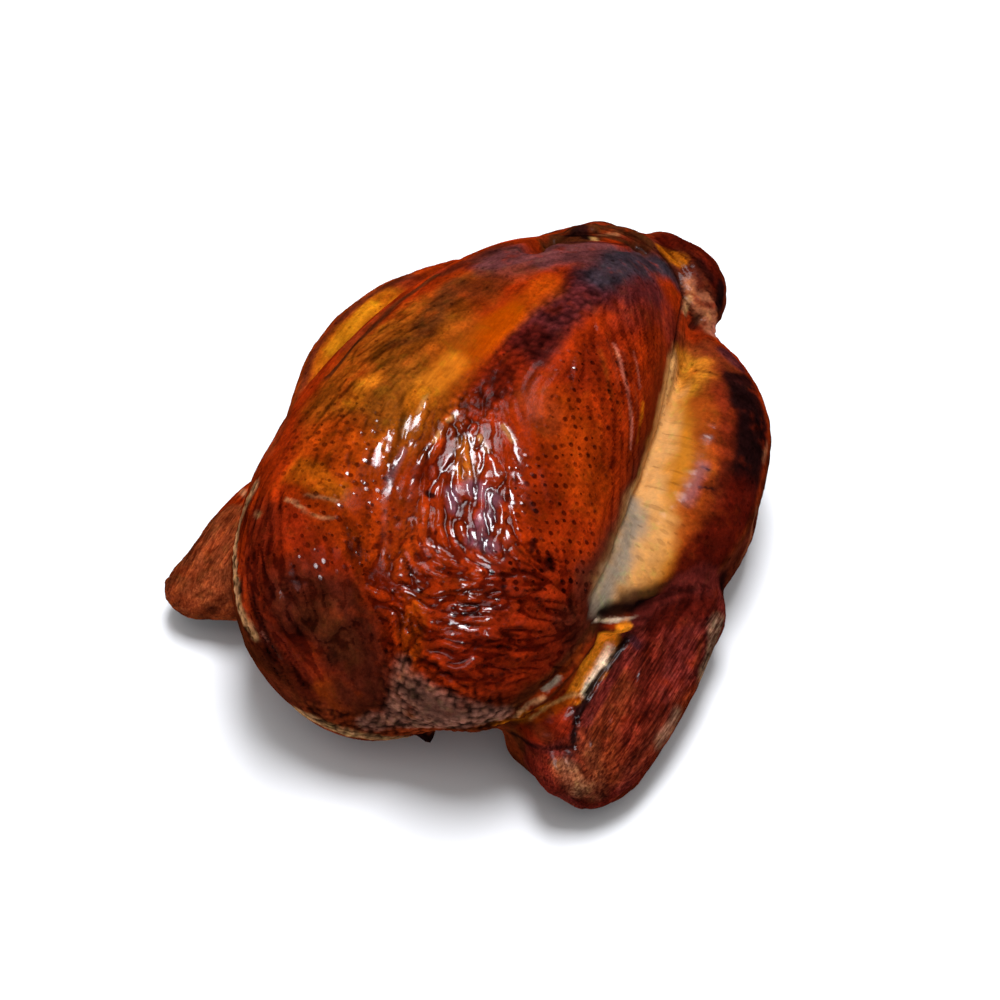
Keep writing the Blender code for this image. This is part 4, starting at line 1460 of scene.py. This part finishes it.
@dataclass(frozen=True)
class SkinFinish:
    """Smoked skin: tints, wrinkle shadows, pores and a greasy shine. Sizes are in mm."""

    effects: Effects
    name: str = "smoked_skin"
    cloud_size: float = 9.0
    darkest_cloud: float = 0.66
    grain_size: float = 1.4
    darkest_grain: float = 0.72
    warm_size: float = 3.2
    green_size: float = 4.6
    strand_size: float = 0.7
    strand_length: float = 14.0
    row_turn: float = 45.0
    row_disorder: float = 0.4
    pore_pitch: float = 3.1
    pore_size: float = 0.85
    pore_share: float = 0.93
    bead_size: float = 0.6
    bead_share: float = 0.8
    bead_shift: Point = (0.8, 0.6, 0.0)
    speck_pitch: float = 2.6
    speck_size: float = 0.8
    speck_share: float = 0.34
    crease_size: float = 1.3
    crease_stretch: float = 0.45
    crease_height: float = 0.11
    pore_depth: float = 0.40
    bead_height: float = 0.25
    dry_roughness: float = 0.62
    wet_roughness: float = 0.30
    under_shine: float = 0.0
    coat_roughness: float = 0.16
    coat_ior: float = 1.75
    bead_shine: float = 0.8

    def rows(self, wiring: Wiring, place: object, size: float, share: float) -> bpy.types.NodeSocket:
        """Set dots in the rows of the pores.

        Args:
            wiring: The material's wiring.
            place: Places on the unrolled skin in mm, along the rows.
            size: Width of a dot in mm.
            share: How many of the dots are there.

        Returns:
            1 in a dot and 0 beside it.
        """
        settings = {"Pitch": self.pore_pitch, "Size": size, "Disorder": self.row_disorder, "Share": share}
        return wiring.group(self.effects.pores, "Mask", Place=place, **settings)

    def shaded(
        self, wiring: Wiring, varied: object, colour: object, place: object, size: float, low: float
    ) -> bpy.types.NodeSocket:
        """Darken and lighten the colour in clouds, except where the skin is clean.

        Args:
            wiring: The material's wiring.
            varied: 0 where the skin is clean, up to 1 where it varies most.
            colour: The colour so far.
            place: Places in mm.
            size: Size of a cloud in mm.
            low: What the darkest cloud leaves of the light; the lightest adds as much.

        Returns:
            The new colour.
        """
        cloud = wiring.group(self.effects.mottle, "Value", Place=place, Size=size, Contrast=2.0)
        light = wiring.fade(cloud, 0.0, 1.0, low, 2.0 - low)
        grey = wiring.node("CombineXYZ", {0: light, 1: light, 2: light}).outputs[0]
        return wiring.washed(varied, colour, grey)

    def colour(self, wiring: Wiring, place: object, warm: object, pores: object) -> bpy.types.NodeSocket:
        """Lay clouds, painted light on ridges, painted shade in valleys, strands, pores and specks over the
        tint.

        Args:
            wiring: The material's wiring.
            place: Places in mm.
            warm: Where the skin is warmer in colour, from 0 to 1.
            pores: 1 in a pore and 0 beside it.

        Returns:
            The skin's colour.
        """
        streak = wiring.attribute("streak")
        varied = wiring.maths("SUBTRACT", 1.0, wiring.attribute("clean"))
        colour = wiring.attribute("tint", "Color")
        colour = self.shaded(wiring, varied, colour, place, self.cloud_size, self.darkest_cloud)
        colour = self.shaded(wiring, varied, colour, place, self.grain_size, self.darkest_grain)
        colour = wiring.washed(wiring.fade(warm, 0.45, 1.0, 0.0, 0.4), colour, Wash.WARM.value)
        aside = wiring.scaled(place, -1.0)
        green = wiring.group(self.effects.mottle, "Value", Place=aside, Size=self.green_size, Contrast=2.4)
        colour = wiring.washed(wiring.fade(green, 0.5, 1.0, 0.0, 0.5), colour, Wash.GREEN.value)
        # Painted light on the fold ridges and painted shade in the fold valleys.
        colour = wiring.washed(wiring.fade(streak, 0.2, 1.4, 0.0, 0.5), colour, Wash.RIDGE.value)
        colour = wiring.washed(wiring.fade(streak, -0.12, -0.75, 0.0, 0.8), colour, Wash.VALLEY.value)
        strand_sizes = {"Size": self.strand_size, "Length": self.strand_length}
        strand = wiring.group(self.effects.fibres, "Value", Place=place, **strand_sizes)
        strands = wiring.washed(wiring.fade(strand, 0.45, 0.0), colour, Wash.DARK_STRAND.value)
        strands = wiring.washed(wiring.fade(strand, 0.6, 1.0), strands, Wash.LIGHT_STRAND.value)
        colour = wiring.mix(wiring.attribute("fibres"), colour, strands)
        colour = wiring.washed(pores, colour, Wash.PORE.value)
        speck_sizes = {"Pitch": self.speck_pitch, "Size": self.speck_size, "Share": self.speck_share}
        specks = wiring.group(self.effects.specks, "Mask", Place=place, Disorder=1.0, **speck_sizes)
        specks = wiring.maths("MULTIPLY", specks, wiring.maths("MULTIPLY", varied, 0.7))
        return wiring.washed(specks, colour, Wash.SPECK.value)

    def relief(self, wiring: Wiring, unrolled: object, pores: object, beads: object) -> bpy.types.NodeSocket:
        """Sink the pores and creases and raise the beads of fat, where the mesh is too coarse.

        Args:
            wiring: The material's wiring.
            unrolled: Places on the unrolled skin in mm.
            pores: 1 in a pore and 0 beside it.
            beads: 1 on a bead and 0 beside it.

        Returns:
            The tilted normal.
        """
        sizes = {"Size": self.crease_size, "Stretch": self.crease_stretch}
        creases = wiring.group(self.effects.creases, "Height", Place=unrolled, **sizes)
        height = wiring.maths("MULTIPLY", creases, self.crease_height)
        height = wiring.maths("SUBTRACT", height, wiring.maths("MULTIPLY", pores, self.pore_depth))
        height = wiring.maths("ADD", height, wiring.maths("MULTIPLY", beads, self.bead_height))
        one_mm = 1 / MM_PER_METRE
        return wiring.node("Bump", {"Strength": 1.0, "Distance": one_mm, "Height": height}).outputs[0]

    def material(self) -> bpy.types.Material:
        """Wire the material.

        Returns:
            The material, which reads the attributes that Skin writes.
        """
        finish = bpy.data.materials.new(self.name)
        finish.use_nodes = True
        wiring = Wiring(finish.node_tree)
        shader = finish.node_tree.nodes["Principled BSDF"].inputs
        place = wiring.scaled(wiring.node("TexCoord", {}).outputs["Object"], MM_PER_METRE)
        unrolled = wiring.attribute("unrolled", "Vector")
        turn = {"Vector": unrolled, "Angle": math.radians(self.row_turn)}
        rows = wiring.node("VectorRotate", turn, rotation_type="Z_AXIS").outputs[0]
        gloss, porous = wiring.attribute("gloss"), wiring.attribute("pores")
        pores = wiring.maths("MULTIPLY", self.rows(wiring, rows, self.pore_size, self.pore_share), porous)
        aside = wiring.node("VectorMath", {0: rows, 1: self.bead_shift}, operation="ADD").outputs[0]
        beads = self.rows(wiring, aside, self.bead_size, self.bead_share)
        beads = wiring.maths("MULTIPLY", beads, wiring.fade(porous, 0.15, 0.6))
        warm = wiring.group(self.effects.mottle, "Value", Place=place, Size=self.warm_size, Contrast=2.2)
        wiring.feed(shader["Base Color"], self.colour(wiring, place, warm, pores))

        rough = wiring.fade(gloss, 0.0, 1.0, self.dry_roughness, self.wet_roughness)
        rough = wiring.maths("ADD", rough, wiring.fade(warm, 0.0, 1.0, -0.06, 0.06))
        wiring.feed(shader["Roughness"], rough)
        shine = wiring.maths("MAXIMUM", gloss, wiring.maths("MULTIPLY", beads, self.bead_shine))
        wiring.feed(shader["Coat Weight"], shine)
        shader["Specular IOR Level"].default_value = self.under_shine
        shader["Coat Roughness"].default_value = self.coat_roughness
        shader["Coat IOR"].default_value = self.coat_ior
        wiring.feed(shader["Normal"], self.relief(wiring, unrolled, pores, beads))
        return finish


# The skin ------------------------------------------------------------------------


@dataclass
class Skin:
    """The whole skin: one closed net, drawn onto the flesh, creased and painted. Sizes are in mm."""

    bird: Bird
    flesh: Flesh
    grain: Grain
    finish: SkinFinish
    name: str = "skin"
    square: float = 2.2
    quick_square: float = 2.4
    rounds: int = 4
    last_rounds: int = 2
    slide: float = 0.35
    view_side: Point = (0.27, -0.47, 0.84)
    finer_from: float = 0.05
    finest_from: float = 0.6
    middle_height: float = 40.0
    unroll_radius: float = 55.0
    pimple_size: float = 2.5
    glint_height: float = 0.3
    crumple_height: float = 0.075
    crumple_limit: float = 1.6
    rest_height: float = 4.0
    streak_scale: float = 0.35
    finest_broken: float = 2.5
    side_shade: float = 0.85
    side_from: float = 0.6
    net: Net = field(init=False)

    def weave(self) -> None:
        """Lay the net over the solid and draw it onto the flesh, finer where it shows."""
        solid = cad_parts[self.bird.node]
        mesh = solid.data.copy()
        mesh.materials.clear()
        self.net = Net(self.name, mesh, self.bird)
        self.net.remesh(self.square)
        for _ in range(self.rounds):
            self.net.points = self.flesh.draw_on(self.net.points)
            self.net.even_out(self.flesh.uprights(self.net.points), self.slide)
        facing = self.flesh.uprights(self.net.points) @ np.array(self.view_side)
        self.net.refine(facing > self.finer_from)
        places = self.net.points
        self.net.refine(CRUMPLED.at(places, places * 0) > self.finest_from)
        for _ in range(self.last_rounds):
            self.net.points = self.flesh.draw_on(self.net.points)

    def crumple(self, points: Points, uprights: Points, wander: Points) -> Values:
        """Crinkle the wet places.

        Args:
            points: Places in mm.
            uprights: Which way the skin faces there.
            wander: A direction for each place, for ragged edges.

        Returns:
            A height in mm for each place.
        """
        crumpled = CRUMPLED.at(points, wander)
        near = crumpled > 0.01
        crinkle = self.grain.wrinkles(points[near], uprights[near], CRINKLES)
        crinkle += 0.8 * Noise(62).at(points[near], 2.4) + Noise(63).at(points[near], 0.9)
        height = np.zeros(len(points))
        limit = self.crumple_limit
        height[near] = self.crumple_height * crumpled[near] * np.clip(crinkle, -limit, limit)
        return height

    def crease(self) -> None:
        """Raise the skin's relief, and keep what the material needs at every corner."""
        points = self.net.points
        uprights = self.flesh.uprights(points)
        wander = Noise(3).push(points, 9.0) + 0.5 * Noise(8).push(points, 3.0)
        long_folds = self.grain.wrinkles(points, uprights, LONG_FOLDS)
        short_folds = self.grain.wrinkles(points, uprights, SHORT_FOLDS)
        folds = WRINKLE.at(points, wander) * ridged(long_folds, 0.5, 1.6)
        folds += BRICKS.at(points, wander) * ridged(short_folds, 0.4, 1.5)
        pimples = Noise(55).pimples(points + 0.3 * wander, self.pimple_size)
        swell = Noise(5).at(points, 17.0) + 0.5 * Noise(6).at(points, 8.0)
        height = folds + PIMPLES.at(points, wander) * pimples + SWELL.at(points, wander) * swell
        height -= Layers(0, GROOVES).at(points, wander)
        height += self.glint_height * Layers(0, GLINTS).at(points, wander)
        height += self.crumple(points, uprights, wander)
        above_floor = eased(points[:, 2] / self.rest_height)
        self.net.points = points + (height * above_floor)[:, None] * uprights

        # The fold height, which the material turns into painted light on ridges and painted shade in
        # valleys.
        self.net.write("streak", folds / self.streak_scale)
        for name, zones in (("clean", CLEAN), ("fibres", FIBRES), ("gloss", GLOSS), ("pores", PORES)):
            self.net.write(name, zones.at(points, wander))
        wide = self.unroll_radius * np.arctan2(points[:, 0], points[:, 2] - self.middle_height)
        self.net.write("unrolled", np.stack([wide, points[:, 1], points[:, 2] * 0], axis=1))
        tint = self.painted(points, uprights, wander)
        # Painted shade and light of the pimples, and the smoke dashes.
        tint[:, :3] *= self.shade(points, uprights, wander, pimples)[:, None]
        self.net.write("tint", tint)

    def shade(self, points: Points, uprights: Points, wander: Points, pimples: Values) -> Values:
        """Paint shade into the gaps between pimples and light onto their tops, and darken the dashes that
        smoke leaves.

        Args:
            points: Places in mm.
            uprights: Which way the skin faces there.
            wander: A direction for each place, for ragged edges.
            pimples: 1 at the top of a pimple, 0 in the gaps.

        Returns:
            What is left of the light at each place.
        """
        smears = self.grain.wrinkles(points, uprights, SMEARS)
        dashes = self.grain.wrinkles(points, uprights, DASHES)
        varied = 1 - CLEAN.at(points, wander)
        shade = 1 + 0.17 * np.clip(smears, -2.2, 2.2) * varied
        shade *= 1 - 0.75 * varied * SMOKE.at(points, wander) * eased((-dashes - 0.5) / 1.3)
        # Painted shade in the gaps between pimples and painted light on their tops.
        shade *= 1 + np.minimum(PIMPLES.at(points, wander) * 1.6, 1) * (2.2 * pimples - 1.2)
        return np.clip(shade, 0.1, 1.6)

    def painted(self, points: Points, uprights: Points, wander: Points) -> np.ndarray:
        """Paint the zones over each other.

        Args:
            points: Places in mm.
            uprights: Which way the skin faces there.
            wander: A direction for each place, for ragged edges.

        Returns:
            A row of red, green, blue and 1 for each place.
        """
        colour = np.tile(BASE_TINT.light, (len(points), 1))
        # Skin that faces sideways and down is mixed toward umber, the more the lower it faces: painted
        # shade.
        side = self.side_shade * eased((self.side_from - uprights[:, 2]) / self.side_from)
        colour += (Tint.UMBER.light - colour) * side[:, None]
        speckle = 0.45 * Noise(13).at(points, 4.5) + 0.35 * Noise(14).at(points, 1.9)
        broken = 1 - (1 - CLEAN.at(points, wander)) * np.clip(-0.1 - speckle, 0, 1)
        for patch in HIDDEN + PAINT:
            share = patch.weight(points, wander)
            if patch.soft > self.finest_broken:
                share = share * broken
            colour += (patch.value.light - colour) * share[:, None]
        return np.hstack([colour, np.ones((len(points), 1))])

    def build(self) -> bpy.types.Object:
        """Make the piece.

        Returns:
            The skin, which stands for the solid bird.
        """
        self.weave()
        self.crease()
        self.net.smooth()
        self.net.thing.data.materials.append(self.finish.material())
        self.bird.carry(self.net.thing)
        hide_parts(self.bird.node)
        return self.net.thing


# Studio --------------------------------------------------------------------------


def toward(azimuth: float, elevation: float) -> Vector:
    """Direction from the bird at an azimuth, 0 at the neck and 90 on its right, and an elevation."""
    side, up = math.radians(azimuth), math.radians(elevation)
    return Vector((math.sin(side) * math.cos(up), -math.cos(side) * math.cos(up), math.sin(up)))


@dataclass(frozen=True)
class Lamp:
    """A soft light: its side and height in degrees, distance and size in metres, and its watts."""

    name: str
    azimuth: float
    elevation: float
    away: float
    size: tuple[float, float]
    power: float
    colour: Point
    on_matt: bool = True
    on_shine: bool = True

    def hang(self, aim: Vector) -> bpy.types.Object:
        """Hang the lamp.

        Args:
            aim: What it points at.

        Returns:
            The lamp.
        """
        light = bpy.data.lights.new(self.name, "AREA")
        light.shape = "RECTANGLE"
        light.size, light.size_y = self.size
        light.energy = self.power
        light.color = self.colour
        lamp = bpy.data.objects.new(self.name, light)
        back = toward(self.azimuth, self.elevation)
        lamp.location = aim + self.away * back
        lamp.rotation_euler = back.to_track_quat("Z", "Y").to_euler()
        lamp.visible_diffuse, lamp.visible_glossy = self.on_matt, self.on_shine
        bpy.context.scene.collection.objects.link(lamp)
        return lamp


LAMPS = (
    Lamp("overhead", 200, 78, 1.5, (0.48, 0.64), 28, (0.92, 0.94, 1.0)),
    Lamp("window", 8, 48, 1.6, (0.5, 0.5), 10, (0.92, 0.94, 1.0), on_matt=False),
    Lamp("ceiling", 190, 82, 2.0, (2.2, 2.2), 12, (1.0, 0.98, 0.95), on_shine=False),
)


@dataclass
class Studio:
    """Plain pale floor, soft lights and the camera of the picture. Lengths are in metres."""

    aim: Point = (0.0028, -0.0161, 0.045)
    azimuth: float = 29.5
    elevation: float = 57.0
    distance: float = 0.85
    lens: float = 84.13
    sensor: float = 36.0
    floor_size: float = 12.0
    floor_colour: float = 0.86
    floor_roughness: float = 0.9
    floor_shine: float = 0.1
    room_colour: tuple[float, float, float, float] = (0.95, 0.97, 1.0, 1.0)
    room_glow: float = 0.34

    def floor(self) -> bpy.types.Object:
        """Lay the floor.

        Returns:
            The floor.
        """
        net = bmesh.new()
        bmesh.ops.create_grid(net, x_segments=1, y_segments=1, size=self.floor_size / 2)
        mesh = bpy.data.meshes.new("floor")
        net.to_mesh(mesh)
        net.free()
        floor = bpy.data.objects.new("floor", mesh)
        finish = bpy.data.materials.new("pale_floor")
        finish.use_nodes = True
        shader = finish.node_tree.nodes["Principled BSDF"]
        shader.inputs["Base Color"].default_value = (self.floor_colour,) * 3 + (1,)
        shader.inputs["Roughness"].default_value = self.floor_roughness
        shader.inputs["Specular IOR Level"].default_value = self.floor_shine
        mesh.materials.append(finish)
        bpy.context.scene.collection.objects.link(floor)
        floor.visible_glossy = False
        return floor

    def lights(self) -> None:
        """Hang the lamps and set the glow of the room."""
        for lamp in LAMPS:
            lamp.hang(Vector(self.aim))
        world = bpy.data.worlds.new("room")
        world.use_nodes = True
        glow = world.node_tree.nodes["Background"].inputs
        glow["Color"].default_value = self.room_colour
        glow["Strength"].default_value = self.room_glow
        world.cycles_visibility.glossy = False
        bpy.context.scene.world = world

    def camera(self) -> bpy.types.Object:
        """Stand the camera at the picture's angle.

        Returns:
            The camera.
        """
        data = bpy.data.cameras.new("camera")
        data.lens = self.lens
        data.sensor_width = self.sensor
        camera = bpy.data.objects.new("camera", data)
        back = toward(self.azimuth, self.elevation)
        camera.location = Vector(self.aim) + self.distance * back
        camera.rotation_euler = back.to_track_quat("Z", "Y").to_euler()
        bpy.context.scene.collection.objects.link(camera)
        bpy.context.scene.camera = camera
        return camera

    def build(self) -> None:
        """Set up everything round the bird."""
        self.floor()
        self.lights()
        self.camera()
        bpy.context.scene.view_settings.view_transform = "Standard"


def main() -> None:
    """Build the studio and the bird, and report each piece."""
    logging.basicConfig(level=logging.INFO, format="%(name)s: %(message)s")
    Studio().build()
    bird = Bird()
    flesh = Flesh(TRUNK + BREAST + RIGHT_LEG + LEFT_LEG + RIGHT_WING + LEFT_WING + ENDS + FOLDS)
    effects = Effects.make()
    skin = Skin(bird, flesh, Grain(LAYS), SkinFinish(effects)).build()
    LOG.info("%s: %d faces", skin.name, len(skin.data.polygons))


if __name__ == "__main__":
    main()
